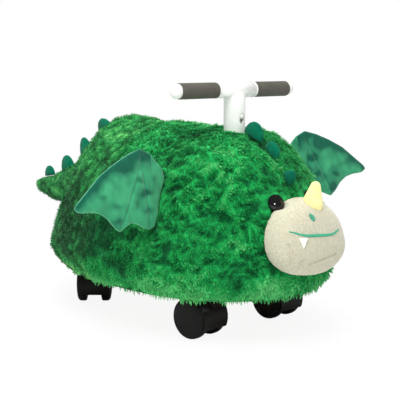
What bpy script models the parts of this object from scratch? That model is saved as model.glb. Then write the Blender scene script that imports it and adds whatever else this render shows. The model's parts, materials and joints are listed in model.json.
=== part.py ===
"""A plush ride-on animal: a furred foam body on four twin-wheel swivel casters, with a T handle.

Units are metres. +X runs to the nose, +Y to the animal's left and +Z up. Places are measured from the
point on the floor under the middle of the furred body. The finished animal stands with its origin on
the floor under the middle of its whole length, from the muzzle to the tip of the tail.
"""

import math

import bmesh
import bpy
from mathutils import Matrix, Vector

OBJECT_NAME = "plush_ride_on"

# Shared clearances
GAP = 0.0003
OVERRUN = 0.020
MERGE = 0.00001
ROUND_SIDES = 20
SMALL_SIDES = 16

# Caster placing: two stems in front and two behind, and each caster has swivelled by its own angle
FRONT_STEM_X = 0.157
REAR_STEM_X = -0.165
TRACK = 0.188
SWIVEL_FRONT_RIGHT = math.radians(5.0)
SWIVEL_FRONT_LEFT = math.radians(1.0)
SWIVEL_REAR_RIGHT = math.radians(-43.0)
SWIVEL_REAR_LEFT = math.radians(-30.0)

# Caster wheels
WHEEL_RADIUS = 0.035
WHEEL_WIDTH = 0.018
WHEEL_SPACE = 0.030
WHEEL_SIDES = 28
WHEEL_DOME = 0.006
WHEEL_EDGE = 0.002
HUB_DEPTH = 0.012
AXLE_RADIUS = 0.003
AXLE_HEIGHT = WHEEL_RADIUS * math.cos(math.pi / WHEEL_SIDES)
# Along the axle and out from it, from the crown of the wheel's face to its rim, as shares of its dome
DOME_SHARES = ((0.0, 1.0), (0.6, 0.86), (0.88, 0.5), (1.0, 0.0))

# Caster housings
TRAIL = 0.020
HOOD_PLAY = 0.0012
HOOD_WALL = 0.0022
HOOD_WIDTH = 0.0575
HOOD_FOOT = 0.018
HOOD_BACK = math.radians(112.0)
HOOD_STEPS = 12
WEB_PLAY = 0.0008
STEM_RADIUS = 0.0047
STEM_FOOT = 0.052
STEM_CHAMFER = 0.0012
BOSS_RADIUS = 0.011
BOSS_CHAMFER = 0.0015
SOCKET_WALL = 0.0035
SOCKET_FLANGE_RADIUS = 0.0155
SOCKET_FLANGE = 0.0025
SWIVEL_PLAY = 0.0005

# Base board
BOARD_HEIGHT = 0.084
BOARD_THICKNESS = 0.015

# Furred body
BODY_LENGTH = 0.588
BODY_WIDTH = 0.395
HEM_HEIGHT = 0.080
BELLY_HEIGHT = 0.0935
SEAT_HEIGHT = 0.350
COVER_WALL = 0.012
SEAM_X = -0.050
BODY_SIDES = 44
BODY_LEVELS = 8
HEM_TUCK_SHARE = 0.070
PLAN_POWER = 2.22
REAR_END_POWER = 4.7
FRONT_END_POWER = 3.65
END_ROUND = 2.22
SIDE_POWER = 2.17
FRONT_SIDE_POWER = 2.35
REAR_SIDE_POWER = 1.25
SIDE_ROUND = 2.03
FRONT_SIDE_ROUND = 2.21
# Along the back from the rump to the brow as shares of half the length, and the height of the back
# over the belly as shares of the seat's
BACK_SHARES = (
    (-1.0, 0.985),
    (-0.64, 1.100),
    (-0.42, 1.020),
    (-0.27, 1.0),
    (-0.05, 1.004),
    (0.25, 0.982),
    (0.57, 1.043),
    (1.0, 0.860),
)
# Rump, fuller over the hem than on the back
RUMP_FULL_SHARE = 0.057
RUMP_FULL_TOP = 0.225
RUMP_FULL_REACH_SHARE = 0.8
# Dips in the middle of the back, where the largest fins are sewn down: place, depth, length and width
DIPS = (
    (0.158, 0.0125, 0.045, 0.036),
    (-0.222, 0.010, 0.030, 0.070),
)

# Binding along the hem
BINDING_WIDTH = 0.009
BINDING_THICKNESS = 0.0018
BINDING_INSET = 0.002

# Muzzle, sewn on the front of the body
MUZZLE_INSET = 0.0112
MUZZLE_HEIGHT = 0.179
MUZZLE_HALF_WIDTH = 0.079
MUZZLE_HALF_HEIGHT = 0.061
MUZZLE_DEPTH = 0.043
MUZZLE_ROOT = 0.070
MUZZLE_TAPER_SHARE = 0.146
MUZZLE_LEAN_SHARE = 0.19
MUZZLE_FRONT_POWER = 2.36
MUZZLE_RIM_POWER = 2.21
MUZZLE_SEGMENTS = 28
MUZZLE_RINGS = 16

# Horn on the muzzle
HORN_Y = 0.007
HORN_HEIGHT = 0.2345
HORN_LENGTH = 0.0345
HORN_RADIUS = 0.0166
HORN_TIP_RADIUS = 0.0083
HORN_LEAN = math.radians(11.0)
HORN_ROOT = 0.016
HORN_STEPS = 3

# Stitched mouth and nose, and the felt tooth
MOUTH_Y = -0.011
MOUTH_HALF_WIDTH = 0.052
MOUTH_HEIGHT = 0.1868
MOUTH_RISE = 0.0075
MOUTH_CURVE_POWER = 4
MOUTH_POINTS = 15
MOUTH_RADIUS = 0.0017
MOUTH_PROUD = 0.0004
TOOTH_Y = -0.0457
TOOTH_WIDTH = 0.0136
TOOTH_LENGTH = 0.0158
TOOTH_THICKNESS = 0.0030
NOSE_Y = -0.0165
NOSE_HEIGHT = 0.2129
NOSE_WIDTH = 0.0090
NOSE_LENGTH = 0.0145
NOSE_PROUD = 0.0022
NOSE_TILT = math.radians(-18.0)

# Eyes
EYE_Y = 0.0415
EYE_HEIGHT = 0.2345
EYE_RADIUS = 0.0147
EYE_DOME = 0.0085
EYE_RIM = 0.0015
EYE_SEAT = 0.0030
EYE_SHANK_RADIUS = 0.0030
EYE_SHANK = 0.0080

# Spikes along the back: place along X, length, height and thickness
FRONT_SPIKES = {
    "large": (0.1665, 0.045, 0.025, 0.015),
    "middle": (0.209, 0.035, 0.017, 0.013),
    "small": (0.2445, 0.025, 0.020, 0.011),
}
REAR_SPIKES = {
    "high": (-0.233, 0.048, 0.043, 0.016),
}
BEAD_SEGMENTS = 12
BEAD_RINGS = 8

# Tail
TAIL_ROOT_X = -0.215
TAIL_LENGTH = 0.288
TAIL_HEIGHT = 0.220
TAIL_RADIUS = 0.064
TAIL_SIDES = 20
# Along the tail as shares of its length; the drop of its middle and its radius as shares of the root's
TAIL_SHARES = (
    (0.0, 0.0, 1.0),
    (0.14, 0.03, 0.97),
    (0.295, 0.12, 0.84),
    (0.45, 0.26, 0.66),
    (0.61, 0.40, 0.53),
    (0.747, 0.46, 0.42),
    (0.868, 0.46, 0.31),
    (0.950, 0.44, 0.20),
    (0.985, 0.43, 0.08),
)
# Fins on the tail: share of its length, then the fin's length, height and thickness
TAIL_SPIKES = {
    "near": (0.315, 0.042, 0.043, 0.015),
    "middle": (0.56, 0.045, 0.030, 0.014),
    "far": (0.80, 0.036, 0.021, 0.012),
}

# Wings: sewn to the flanks along an upright seam, standing out and leaning a little forward
WING_SEAM_X = 0.112
WING_SEAM_Y = 0.157
WING_SPAN = 0.190
WING_SWEEP = math.radians(8.5)
WING_PITCH = math.radians(-4.8)
WING_FOOT_RIGHT = 0.191
WING_FOOT_LEFT = 0.200
WING_RISE = 0.129
WING_THICKNESS = 0.013
WING_EDGE = 0.0045
WING_SWING = math.radians(25.0)
WING_STEPS = 3
# The wing's outline out from its seam and up from its lowest point, as shares of its span and rise
WING_SHARES = (
    (0.01, 0.15),
    (0.0, 0.29),
    (-0.01, 0.43),
    (-0.063, 0.61),
    (-0.04, 0.73),
    (0.037, 0.84),
    (0.10, 0.93),
    (0.21, 1.0),
    (0.35, 0.95),
    (0.53, 0.85),
    (0.70, 0.73),
    (0.88, 0.54),
    (0.98, 0.43),
    (1.0, 0.385),
    (0.94, 0.34),
    (0.83, 0.335),
    (0.73, 0.30),
    (0.65, 0.225),
    (0.58, 0.11),
    (0.52, 0.04),
    (0.46, 0.075),
    (0.38, 0.12),
    (0.30, 0.095),
    (0.23, 0.03),
    (0.16, 0.0),
    (0.08, 0.02),
)

# Handle post and its lock
POST_X = 0.121
POST_RADIUS = 0.0187
POST_WALL = 0.0041
POST_ROOM = 0.0006
CORE_WALL = 0.0020
CORE_TOP_DROP = 0.024
FOOT_RADIUS = 0.036
FOOT_THICKNESS = 0.005
BOLT_RADIUS = 0.004
BOLT_HEAD_RADIUS = 0.0085
BOLT_HEAD = 0.005
BOLT_GRIP = 0.012
LOCK_DROP = 0.0445
LOCK_SLOT_WIDTH = 0.0100
LOCK_SLOT_DROP = 0.0075
SLOT_STEPS = 8
BUTTON_RADIUS = 0.0043
BUTTON_PROUD = 0.0012
BUTTON_DOME = 0.0025
BUTTON_FLANGE_RADIUS = 0.0065
BUTTON_FLANGE = 0.0015
BUTTON_PLAY = 0.0004
BUTTON_STEPS = 3
SPRING_RADIUS = 0.0042
SPRING_WIRE_RADIUS = 0.0005
SPRING_TURNS = 5
SPRING_POINTS = 8

# Handlebar, over the seat
BAR_RISE = 0.060
BAR_RADIUS = 0.0132
NECK_LENGTH = 0.030
NECK_FILLET = 0.010
NECK_TOP_RADIUS = 0.0125
NECK_STEPS = 6
COLLAR_Y = 0.0420
COLLAR_WIDTH = 0.0024
COLLAR_RADIUS = 0.0137
ARM_RADIUS = 0.0092
GRIP_RADIUS = 0.0133
GRIP_LENGTH = 0.0830
GRIP_ROUND = 0.0015
CAP_RADIUS = 0.0122
CAP_LENGTH = 0.0145
CAP_RIM = 0.0020
CAP_PLUG_RADIUS = 0.0050
CAP_PLUG = 0.0120

# Colours as linear red, green and blue, then roughness and metallic value
FINISHES = {
    "fur_front": ((0.026, 0.270, 0.060), 0.95, 0.0),
    "fur_rear": ((0.045, 0.210, 0.055), 0.95, 0.0),
    "felt_teal": ((0.002, 0.160, 0.085), 0.85, 0.0),
    "velour_beige": ((0.620, 0.590, 0.440), 0.90, 0.0),
    "horn_yellow": ((0.900, 0.800, 0.350), 0.85, 0.0),
    "thread_teal": ((0.010, 0.380, 0.230), 0.60, 0.0),
    "felt_white": ((0.850, 0.850, 0.830), 0.85, 0.0),
    "eye_black": ((0.004, 0.004, 0.004), 0.08, 0.0),
    "tape_green": ((0.010, 0.100, 0.030), 0.80, 0.0),
    "foam": ((0.700, 0.660, 0.450), 0.90, 0.0),
    "plywood": ((0.520, 0.340, 0.170), 0.60, 0.0),
    "plastic_white": ((0.800, 0.810, 0.790), 0.35, 0.0),
    "plastic_black": ((0.012, 0.012, 0.012), 0.40, 0.0),
    "rubber_grey": ((0.100, 0.095, 0.080), 0.75, 0.0),
    "steel": ((0.550, 0.550, 0.560), 0.30, 1.0),
}

BOARD_TOP = BOARD_HEIGHT + BOARD_THICKNESS
HALF_LENGTH = BODY_LENGTH / 2
HALF_WIDTH = BODY_WIDTH / 2
MUZZLE_X = HALF_LENGTH - MUZZLE_INSET
BACK_RISE = SEAT_HEIGHT - BELLY_HEIGHT
CORE_RADIUS = POST_RADIUS - POST_WALL - GAP
BAR_HEIGHT = SEAT_HEIGHT + BAR_RISE
LOCK_HEIGHT = BAR_HEIGHT - LOCK_DROP
CORE_TOP = BAR_HEIGHT - CORE_TOP_DROP
GRIP_START = COLLAR_Y + COLLAR_WIDTH + 2 * GAP
GRIP_END = GRIP_START + GRIP_LENGTH

# Turns that lay a piece's Z axis along X, or along -Y
TOWARDS_NOSE = (0, math.pi / 2, 0)
SIDEWAYS = (math.pi / 2, 0, 0)


def fresh_scene():
    """Empties the scene and returns the collections for the parts and for the cutters."""
    for item in list(bpy.data.objects):
        bpy.data.objects.remove(item, do_unlink=True)
    made = []
    for name in (OBJECT_NAME, "cutters"):
        collection = bpy.data.collections.new(name)
        bpy.context.scene.collection.children.link(collection)
        made.append(collection)
    return made


def finish_of(name):
    """The Principled material of this name, made the first time it is asked for."""
    if name in bpy.data.materials:
        return bpy.data.materials[name]
    colour, roughness, metallic = FINISHES[name]
    material = bpy.data.materials.new(name)
    material.use_nodes = True
    shader = material.node_tree.nodes["Principled BSDF"]
    shader.inputs["Base Color"].default_value = (*colour, 1.0)
    shader.inputs["Roughness"].default_value = roughness
    shader.inputs["Metallic"].default_value = metallic
    material.diffuse_color = (*colour, 1.0)
    return material


class Builder:
    """Keeps the collections and the frame that every piece hangs from."""

    def __init__(self):
        self.parts, self.cutters = fresh_scene()
        self.root = self.pivot("ride_on")

    def pivot(self, name, place=(0, 0, 0), turn=(0, 0, 0), parent=None):
        """An empty that carries other pieces."""
        empty = bpy.data.objects.new(name, None)
        self.parts.objects.link(empty)
        empty.location = place
        empty.rotation_euler = turn
        empty.parent = parent
        return empty

    def put(self, name, mesh, finish=None, place=(0, 0, 0), turn=(0, 0, 0), parent=None):
        """An object of this mesh: a part where it has a finish, and otherwise a cutter."""
        item = bpy.data.objects.new(name, mesh)
        item.location = place
        item.rotation_euler = turn
        item.parent = parent or self.root
        if finish:
            self.parts.objects.link(item)
            mesh.materials.clear()
            mesh.materials.append(finish_of(finish))
        else:
            self.cutters.objects.link(item)
            item.hide_render = True
            item.display_type = "WIRE"
        return item


def mesh_from(name, work, smooth=True):
    """Turns a bmesh into a mesh with its faces pointing out and its round sides shaded smooth."""
    bmesh.ops.recalc_face_normals(work, faces=work.faces)
    if work.calc_volume(signed=True) < 0:
        bmesh.ops.reverse_faces(work, faces=work.faces)
    mesh = bpy.data.meshes.new(name)
    work.to_mesh(mesh)
    work.free()
    if smooth:
        mesh.shade_smooth()
        mesh.set_sharp_from_angle(angle=math.radians(40))
    return mesh


def box(name, low, high):
    """A block between two corners."""
    low, high = Vector(low), Vector(high)
    work = bmesh.new()
    bmesh.ops.create_cube(work, size=1.0)
    size = high - low
    matrix = Matrix.Translation((low + high) / 2) @ Matrix.Diagonal((*size, 1.0))
    bmesh.ops.transform(work, matrix=matrix, verts=work.verts)
    return mesh_from(name, work, smooth=False)


def rod(name, radius, low, high, sides=ROUND_SIDES):
    """A round bar along Z between two heights."""
    work = bmesh.new()
    bmesh.ops.create_cone(
        work, cap_ends=True, segments=sides, radius1=radius, radius2=radius, depth=high - low
    )
    bmesh.ops.translate(work, vec=(0, 0, (low + high) / 2), verts=work.verts)
    return mesh_from(name, work)


def bore(name, radius, low, high):
    """A cutter along Z for a round hole. Its flats lie at this radius, half a side round from a rod's."""
    mesh = rod(name, radius / math.cos(math.pi / ROUND_SIDES), low, high)
    mesh.transform(Matrix.Rotation(math.pi / ROUND_SIDES, 4, "Z"))
    return mesh


def shaped_ball(name, segments, rings, reshape):
    """A sphere whose points a formula moves: reshape takes a point of the unit sphere."""
    work = bmesh.new()
    bmesh.ops.create_uvsphere(work, u_segments=segments, v_segments=rings, radius=1.0)
    for vertex in work.verts:
        vertex.co = reshape(vertex.co)
    return mesh_from(name, work)


def profile_mesh(name, profile):
    """A profile in the XZ plane, for a Screw modifier; a ring's profile is closed."""
    work = bmesh.new()
    points = [work.verts.new((radius, 0, height)) for radius, height in profile]
    for first, second in zip(points, points[1:]):
        work.edges.new((first, second))
    if profile[0][0] > 0:
        work.edges.new((points[-1], points[0]))
    mesh = bpy.data.meshes.new(name)
    work.to_mesh(mesh)
    work.free()
    return mesh


def turn_profile(item, sides=ROUND_SIDES):
    """Turns an object's profile about its Z axis. The profile runs down its outer side."""
    screw = item.modifiers.new("turned", "SCREW")
    screw.axis = "Z"
    screw.angle = 2 * math.pi
    screw.steps = sides
    screw.render_steps = sides
    screw.use_merge_vertices = True
    screw.merge_threshold = MERGE
    screw.use_smooth_shade = True
    return item


def solid_skin(name, rings, closed=True):
    """A skin of triangles through rings of points, with a fan over the top, and one below if closed."""
    work = bmesh.new()
    levels = [[work.verts.new(point) for point in ring] for ring in rings]
    for low, high in zip(levels, levels[1:]):
        for index, first in enumerate(low):
            follow = (index + 1) % len(low)
            work.faces.new((first, low[follow], high[follow], high[index]))
    ends = (levels[-1], levels[0]) if closed else (levels[-1],)
    for ring in ends:
        middle = sum((vertex.co for vertex in ring), Vector()) / len(ring)
        centre = work.verts.new(middle)
        for index, first in enumerate(ring):
            work.faces.new((first, ring[(index + 1) % len(ring)], centre))
    bmesh.ops.triangulate(work, faces=work.faces)
    return mesh_from(name, work)


def combine(item, other, operation):
    """Adds a Boolean that cuts another object from this one, joins it on or keeps what they share."""
    modifier = item.modifiers.new(f"{operation.lower()} {other.name}", "BOOLEAN")
    modifier.operation = operation
    modifier.object = other
    modifier.solver = "EXACT"
    return item


def cut(item, *others):
    for other in others:
        combine(item, other, "DIFFERENCE")
    return item


def join(item, *others):
    for other in others:
        combine(item, other, "UNION")
    return item


def as_mesh(builder, curve_item, name, finish=None):
    """Replaces a curve object by a mesh object with its caps welded on."""
    bpy.context.view_layer.update()
    graph = bpy.context.evaluated_depsgraph_get()
    mesh = bpy.data.meshes.new_from_object(curve_item.evaluated_get(graph))
    work = bmesh.new()
    work.from_mesh(mesh)
    bmesh.ops.remove_doubles(work, verts=work.verts, dist=MERGE)
    work.to_mesh(mesh)
    work.free()
    place, turn, parent = curve_item.location[:], curve_item.rotation_euler[:], curve_item.parent
    bpy.data.objects.remove(curve_item, do_unlink=True)
    return builder.put(name, mesh, finish, place, turn, parent)


def plate(builder, name, outlines, thickness, finish=None, place=(0, 0, 0), turn=(0, 0, 0), parent=None):
    """A flat plate of one outline, or of an outline with holes, half its thickness to each side."""
    curve = bpy.data.curves.new(name, "CURVE")
    curve.dimensions = "2D"
    curve.fill_mode = "BOTH"
    curve.extrude = thickness / 2
    for outline in outlines:
        spline = curve.splines.new("POLY")
        spline.points.add(len(outline) - 1)
        spline.use_cyclic_u = True
        for point, (x, y) in zip(spline.points, outline):
            point.co = (x, y, 0, 1)
    item = bpy.data.objects.new(f"{name}_outline", curve)
    builder.parts.objects.link(item)
    item.location = place
    item.rotation_euler = turn
    item.parent = parent or builder.root
    return as_mesh(builder, item, name, finish)


def wire(builder, name, points, radius, finish=None, parent=None, resolution=2):
    """A round wire through a row of points, with its ends closed."""
    curve = bpy.data.curves.new(name, "CURVE")
    curve.dimensions = "3D"
    curve.bevel_depth = radius
    curve.bevel_resolution = resolution
    curve.use_fill_caps = True
    spline = curve.splines.new("POLY")
    spline.points.add(len(points) - 1)
    for point, place in zip(spline.points, points):
        point.co = (*place, 1)
    item = bpy.data.objects.new(f"{name}_path", curve)
    builder.parts.objects.link(item)
    item.parent = parent or builder.root
    return as_mesh(builder, item, name, finish)


def signed_power(value, power):
    return math.copysign(abs(value) ** power, value)


def smooth_between(table, x):
    """The height at x of a smooth curve through a table of points."""
    last = len(table) - 1
    step = max(i for i in range(last) if i == 0 or table[i][0] <= x)

    def slope(i):
        before, after = table[max(i - 1, 0)], table[min(i + 1, last)]
        return (after[1] - before[1]) / (after[0] - before[0])

    (x0, z0), (x1, z1) = table[step], table[step + 1]
    width = x1 - x0
    t = min(max((x - x0) / width, 0.0), 1.0)
    rise = z0 + (z1 - z0) * (3 * t**2 - 2 * t**3)
    return rise + width * (slope(step) * (t**3 - 2 * t**2 + t) + slope(step + 1) * (t**3 - t**2))


def body_height(x, y):
    """The height of the furred body's surface over a point of its plan."""
    along = max(-1.0, min(1.0, x / HALF_LENGTH))
    front = max(along, 0.0)
    rear = max(-along, 0.0)
    side_power = SIDE_POWER + (FRONT_SIDE_POWER - SIDE_POWER) * front + (REAR_SIDE_POWER - SIDE_POWER) * rear
    side_round = SIDE_ROUND + (FRONT_SIDE_ROUND - SIDE_ROUND) * front
    half = HALF_WIDTH * (1 - abs(along) ** PLAN_POWER) ** (1 / PLAN_POWER)
    across = min(abs(y) / half, 1.0) if half > 0 else 1.0
    end_power = FRONT_END_POWER if along > 0 else REAR_END_POWER
    fall = (1 - abs(along) ** end_power) ** (1 / END_ROUND)
    back = smooth_between(BACK_SHARES, along) * BACK_RISE * fall
    dip = 0.0
    for place, depth, length, width in DIPS:
        dip += depth * math.exp(-(((x - place) / length) ** 2) - (y / width) ** 2)
    return BELLY_HEIGHT + back * (1 - across**side_power) ** (1 / side_round) - dip


def filled_out(x, y, z):
    """A point of the body's skin moved out where the rump is full."""
    rise = max(0.0, min(1.0, (z - BELLY_HEIGHT) / (RUMP_FULL_TOP - BELLY_HEIGHT)))
    rear = max(0.0, min(1.0, -x / (HALF_LENGTH * RUMP_FULL_REACH_SHARE)))
    fullness = 1 + RUMP_FULL_SHARE * (1 - rise) * rear * rear * (3 - 2 * rear)
    return (x * fullness, y * fullness, z)


def plan_outline(scale=1.0, inset=0.0, sides=BODY_SIDES):
    """The body's outline seen from above, scaled and drawn in."""
    outline = []
    for step in range(sides):
        angle = 2 * math.pi * step / sides
        x = (HALF_LENGTH * scale - inset) * signed_power(math.cos(angle), 2 / PLAN_POWER)
        y = (HALF_WIDTH * scale - inset) * signed_power(math.sin(angle), 2 / PLAN_POWER)
        outline.append((x, y))
    return outline


def body_rings():
    """Rings of points up the body: a straight skirt that is trimmed off later, then hem, belly and back."""
    hem = plan_outline(1 - HEM_TUCK_SHARE)
    rings = [
        [(x, y, HEM_HEIGHT - OVERRUN) for x, y in hem],
        [(x, y, HEM_HEIGHT) for x, y in hem],
    ]
    rings.append([filled_out(x, y, BELLY_HEIGHT) for x, y in plan_outline()])
    for level in range(1, BODY_LEVELS + 1):
        angle = math.pi / 2 * level / (BODY_LEVELS + 1)
        scale = math.cos(angle) ** (2 / SIDE_POWER)
        rings.append([filled_out(x, y, body_height(x, y)) for x, y in plan_outline(scale)])
    return rings


def moved_out(item, distance):
    """Moves a closed skin outwards along its normals, or inwards for a negative distance."""
    displace = item.modifiers.new("offset", "DISPLACE")
    displace.direction = "NORMAL"
    displace.mid_level = 0.0
    displace.strength = distance
    return item


def on_body_front(y, height):
    """The point on the front of the body at this side place and height, and the outward normal there."""
    low, high = 0.0, HALF_LENGTH
    for _ in range(40):
        middle = (low + high) / 2
        if body_height(middle, y) > height:
            low = middle
        else:
            high = middle
    return Vector((low, y, height)), body_normal(low, y)


def body_normal(x, y):
    """The outward normal of the body's upper surface."""
    step = GAP
    slope_x = (body_height(x + step, y) - body_height(x - step, y)) / (2 * step)
    slope_y = (body_height(x, y + step) - body_height(x, y - step)) / (2 * step)
    return Vector((-slope_x, -slope_y, 1.0)).normalized()


def make_body(builder):
    """Foam body, its two cover panels and the keep-out solids that cut what is sewn to it."""
    rings = body_rings()
    foam = builder.put("foam_body", solid_skin("foam_body", rings), "foam")
    moved_out(foam, -(COVER_WALL + GAP))
    keep_out = builder.put("body_space", solid_skin("body_space", rings))
    moved_out(keep_out, GAP)

    reach = BODY_LENGTH
    floor_block = box("below_board", (-reach, -reach, -reach), (reach, reach, BOARD_TOP + GAP))
    cut(foam, builder.put("below_board", floor_block))

    panels = {}
    spans = {"front": (SEAM_X + GAP / 2, reach), "rear": (-reach, SEAM_X - GAP / 2)}
    for place, (low, high) in spans.items():
        name = f"{place}_fur_cover"
        panel = builder.put(name, solid_skin(name, rings, closed=False), f"fur_{place}")
        wall = panel.modifiers.new("wall", "SOLIDIFY")
        wall.thickness = COVER_WALL
        wall.offset = -1.0
        half = box(f"{place}_half", (low, -reach, HEM_HEIGHT), (high, reach, reach))
        combine(panel, builder.put(f"{place}_half", half), "INTERSECT")
        panels[place] = panel
    return foam, panels, keep_out


def make_board(builder):
    """Plywood base board, with bores for the caster sockets and for the post's bolt."""
    outline = plan_outline(1 - HEM_TUCK_SHARE, COVER_WALL + GAP)
    board = plate(
        builder,
        "base_board",
        [outline],
        BOARD_THICKNESS,
        "plywood",
        place=(0, 0, BOARD_HEIGHT + BOARD_THICKNESS / 2),
    )
    through = (BOARD_HEIGHT - OVERRUN, BOARD_TOP + OVERRUN)
    socket_bore = bore("socket_bore", STEM_RADIUS + GAP + SOCKET_WALL + GAP, *through)
    for name, (x, y, _) in caster_places().items():
        cut(board, builder.put(f"socket_bore_{name}", socket_bore, place=(x, y, 0)))
    bolt_hole = bore("bolt_hole", BOLT_RADIUS + GAP, *through)
    return cut(board, builder.put("bolt_hole", bolt_hole, place=(POST_X, 0, 0)))


def make_binding(builder):
    """Tape sewn along the underside of the cover's hem, as one flat ring."""
    outer = plan_outline(1 - HEM_TUCK_SHARE, BINDING_INSET)
    inner = plan_outline(1 - HEM_TUCK_SHARE, BINDING_INSET + BINDING_WIDTH)
    height = HEM_HEIGHT - GAP - BINDING_THICKNESS / 2
    plate(builder, "hem_binding", [outer, inner], BINDING_THICKNESS, "tape_green", (0, 0, height))


def caster_places():
    """Each caster's stem place on the floor plan and its swivel angle."""
    side = TRACK / 2
    return {
        "front_right": (FRONT_STEM_X, -side, SWIVEL_FRONT_RIGHT),
        "front_left": (FRONT_STEM_X, side, SWIVEL_FRONT_LEFT),
        "rear_right": (REAR_STEM_X, -side, SWIVEL_REAR_RIGHT),
        "rear_left": (REAR_STEM_X, side, SWIVEL_REAR_LEFT),
    }


def wheel_profile():
    """A wheel from the middle of its domed face, over the tread, to its blind hub bore."""
    rim = WHEEL_RADIUS - WHEEL_EDGE
    dome = [(rim * share, WHEEL_WIDTH - WHEEL_DOME * (1 - rise)) for share, rise in DOME_SHARES]
    hub = AXLE_RADIUS + GAP
    return dome + [
        (WHEEL_RADIUS, WHEEL_WIDTH - WHEEL_DOME - WHEEL_EDGE),
        (WHEEL_RADIUS, WHEEL_EDGE),
        (rim, 0.0),
        (hub, 0.0),
        (hub, HUB_DEPTH),
        (0.0, HUB_DEPTH),
    ]


def hood_mesh():
    """The open arc of the hood round the axle, from below its foot: a Solidify gives it its wall."""
    radius = WHEEL_RADIUS + HOOD_PLAY
    start = -math.asin((AXLE_HEIGHT - HOOD_FOOT / 2) / radius)
    work = bmesh.new()
    rows = []
    for step in range(HOOD_STEPS + 1):
        angle = start + (HOOD_BACK - start) * step / HOOD_STEPS
        x, z = radius * math.cos(angle), radius * math.sin(angle)
        rows.append([work.verts.new((x, side * HOOD_WIDTH / 2, z)) for side in (1, -1)])
    for (a, b), (c, d) in zip(rows, rows[1:]):
        work.faces.new((a, b, d, c))
    return mesh_from("hood", work)


def make_caster(builder, name, x, y, angle):
    """One twin-wheel caster: its socket in the board, stem, hooded housing, axle and two wheels."""
    pivot = builder.pivot(f"{name}_swivel", (x, y, 0), (0, 0, angle), builder.root)
    axle_at = (-TRAIL, 0, AXLE_HEIGHT)
    web = WHEEL_SPACE / 2 - WEB_PLAY
    shell = WHEEL_RADIUS + HOOD_PLAY + HOOD_WALL
    flange_foot = BOARD_HEIGHT - GAP - SOCKET_FLANGE
    boss_top = flange_foot - SWIVEL_PLAY
    socket_bore = STEM_RADIUS + GAP
    sleeve = socket_bore + SOCKET_WALL

    profile = [
        (sleeve, BOARD_TOP),
        (sleeve, flange_foot + SOCKET_FLANGE),
        (SOCKET_FLANGE_RADIUS, flange_foot + SOCKET_FLANGE),
        (SOCKET_FLANGE_RADIUS, flange_foot),
        (socket_bore, flange_foot),
        (socket_bore, BOARD_TOP),
    ]
    node = f"caster_socket_{name}"
    socket = builder.put(node, profile_mesh(node, profile), "plastic_black", (x, y, 0))
    turn_profile(socket, SMALL_SIDES)

    profile = [
        (0.0, BOARD_TOP - GAP),
        (STEM_RADIUS - STEM_CHAMFER, BOARD_TOP - GAP),
        (STEM_RADIUS, BOARD_TOP - GAP - STEM_CHAMFER),
        (STEM_RADIUS, STEM_FOOT + GAP),
        (0.0, STEM_FOOT + GAP),
    ]
    node = f"caster_stem_{name}"
    stem = builder.put(node, profile_mesh(node, profile), "steel", parent=pivot)
    turn_profile(stem, SMALL_SIDES)

    node = f"caster_housing_{name}"
    housing = builder.put(node, hood_mesh(), "plastic_black", axle_at, parent=pivot)
    wall = housing.modifiers.new("wall", "SOLIDIFY")
    wall.thickness = HOOD_WALL
    wall.offset = 1.0
    disc = rod(f"web_{name}", shell - GAP, -web, web, WHEEL_SIDES)
    join(housing, builder.put(f"web_{name}", disc, None, axle_at, SIDEWAYS, pivot))
    boss = profile_mesh(
        f"boss_{name}",
        [
            (0.0, boss_top),
            (BOSS_RADIUS - BOSS_CHAMFER, boss_top),
            (BOSS_RADIUS, boss_top - BOSS_CHAMFER),
            (BOSS_RADIUS, AXLE_HEIGHT + BOSS_RADIUS),
            (0.0, AXLE_HEIGHT + BOSS_RADIUS),
        ],
    )
    join(housing, turn_profile(builder.put(f"boss_{name}", boss, parent=pivot)))
    foot = box(f"hood_foot_{name}", (-shell, -shell, -shell), (shell, shell, HOOD_FOOT))
    stem_bore = bore(f"stem_bore_{name}", STEM_RADIUS + GAP, STEM_FOOT, boss_top + OVERRUN)
    axle_bore = bore(f"axle_bore_{name}", AXLE_RADIUS + GAP, -WHEEL_SPACE, WHEEL_SPACE)
    cut(
        housing,
        builder.put(f"axle_bore_{name}", axle_bore, None, axle_at, SIDEWAYS, pivot),
        builder.put(f"stem_bore_{name}", stem_bore, parent=pivot),
        builder.put(f"hood_foot_{name}", foot, None, (-TRAIL, 0, 0), parent=pivot),
    )

    half_axle = WHEEL_SPACE / 2 + HUB_DEPTH - GAP
    axle = rod(f"caster_axle_{name}", AXLE_RADIUS, -half_axle, half_axle, SMALL_SIDES)
    builder.put(f"caster_axle_{name}", axle, "steel", axle_at, SIDEWAYS, pivot)

    for side, facing in (("left", 1), ("right", -1)):
        node = f"{side}_wheel_{name}"
        turn = (-facing * math.pi / 2, facing * math.pi / WHEEL_SIDES, 0)
        place = (-TRAIL, facing * WHEEL_SPACE / 2, AXLE_HEIGHT)
        mesh = profile_mesh(node, wheel_profile())
        turn_profile(builder.put(node, mesh, "plastic_black", place, turn, pivot), WHEEL_SIDES)


def muzzle_point(direction):
    """The muzzle's surface towards a unit direction: a blunt pear that leans back towards its top."""
    out = math.hypot(direction.y, direction.z)
    spread = out ** (2 / MUZZLE_FRONT_POWER) / max(out, MERGE) ** (2 / MUZZLE_RIM_POWER)
    rise_share = spread * signed_power(direction.z, 2 / MUZZLE_RIM_POWER)
    width_share = spread * signed_power(direction.y, 2 / MUZZLE_RIM_POWER)
    width_share *= 1 - MUZZLE_TAPER_SHARE * rise_share
    forward = direction.x > 0
    depth = MUZZLE_DEPTH * direction.x ** (2 / MUZZLE_FRONT_POWER) if forward else MUZZLE_ROOT * direction.x
    z = MUZZLE_HALF_HEIGHT * rise_share
    return Vector((depth - MUZZLE_LEAN_SHARE * z, MUZZLE_HALF_WIDTH * width_share, z))


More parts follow.
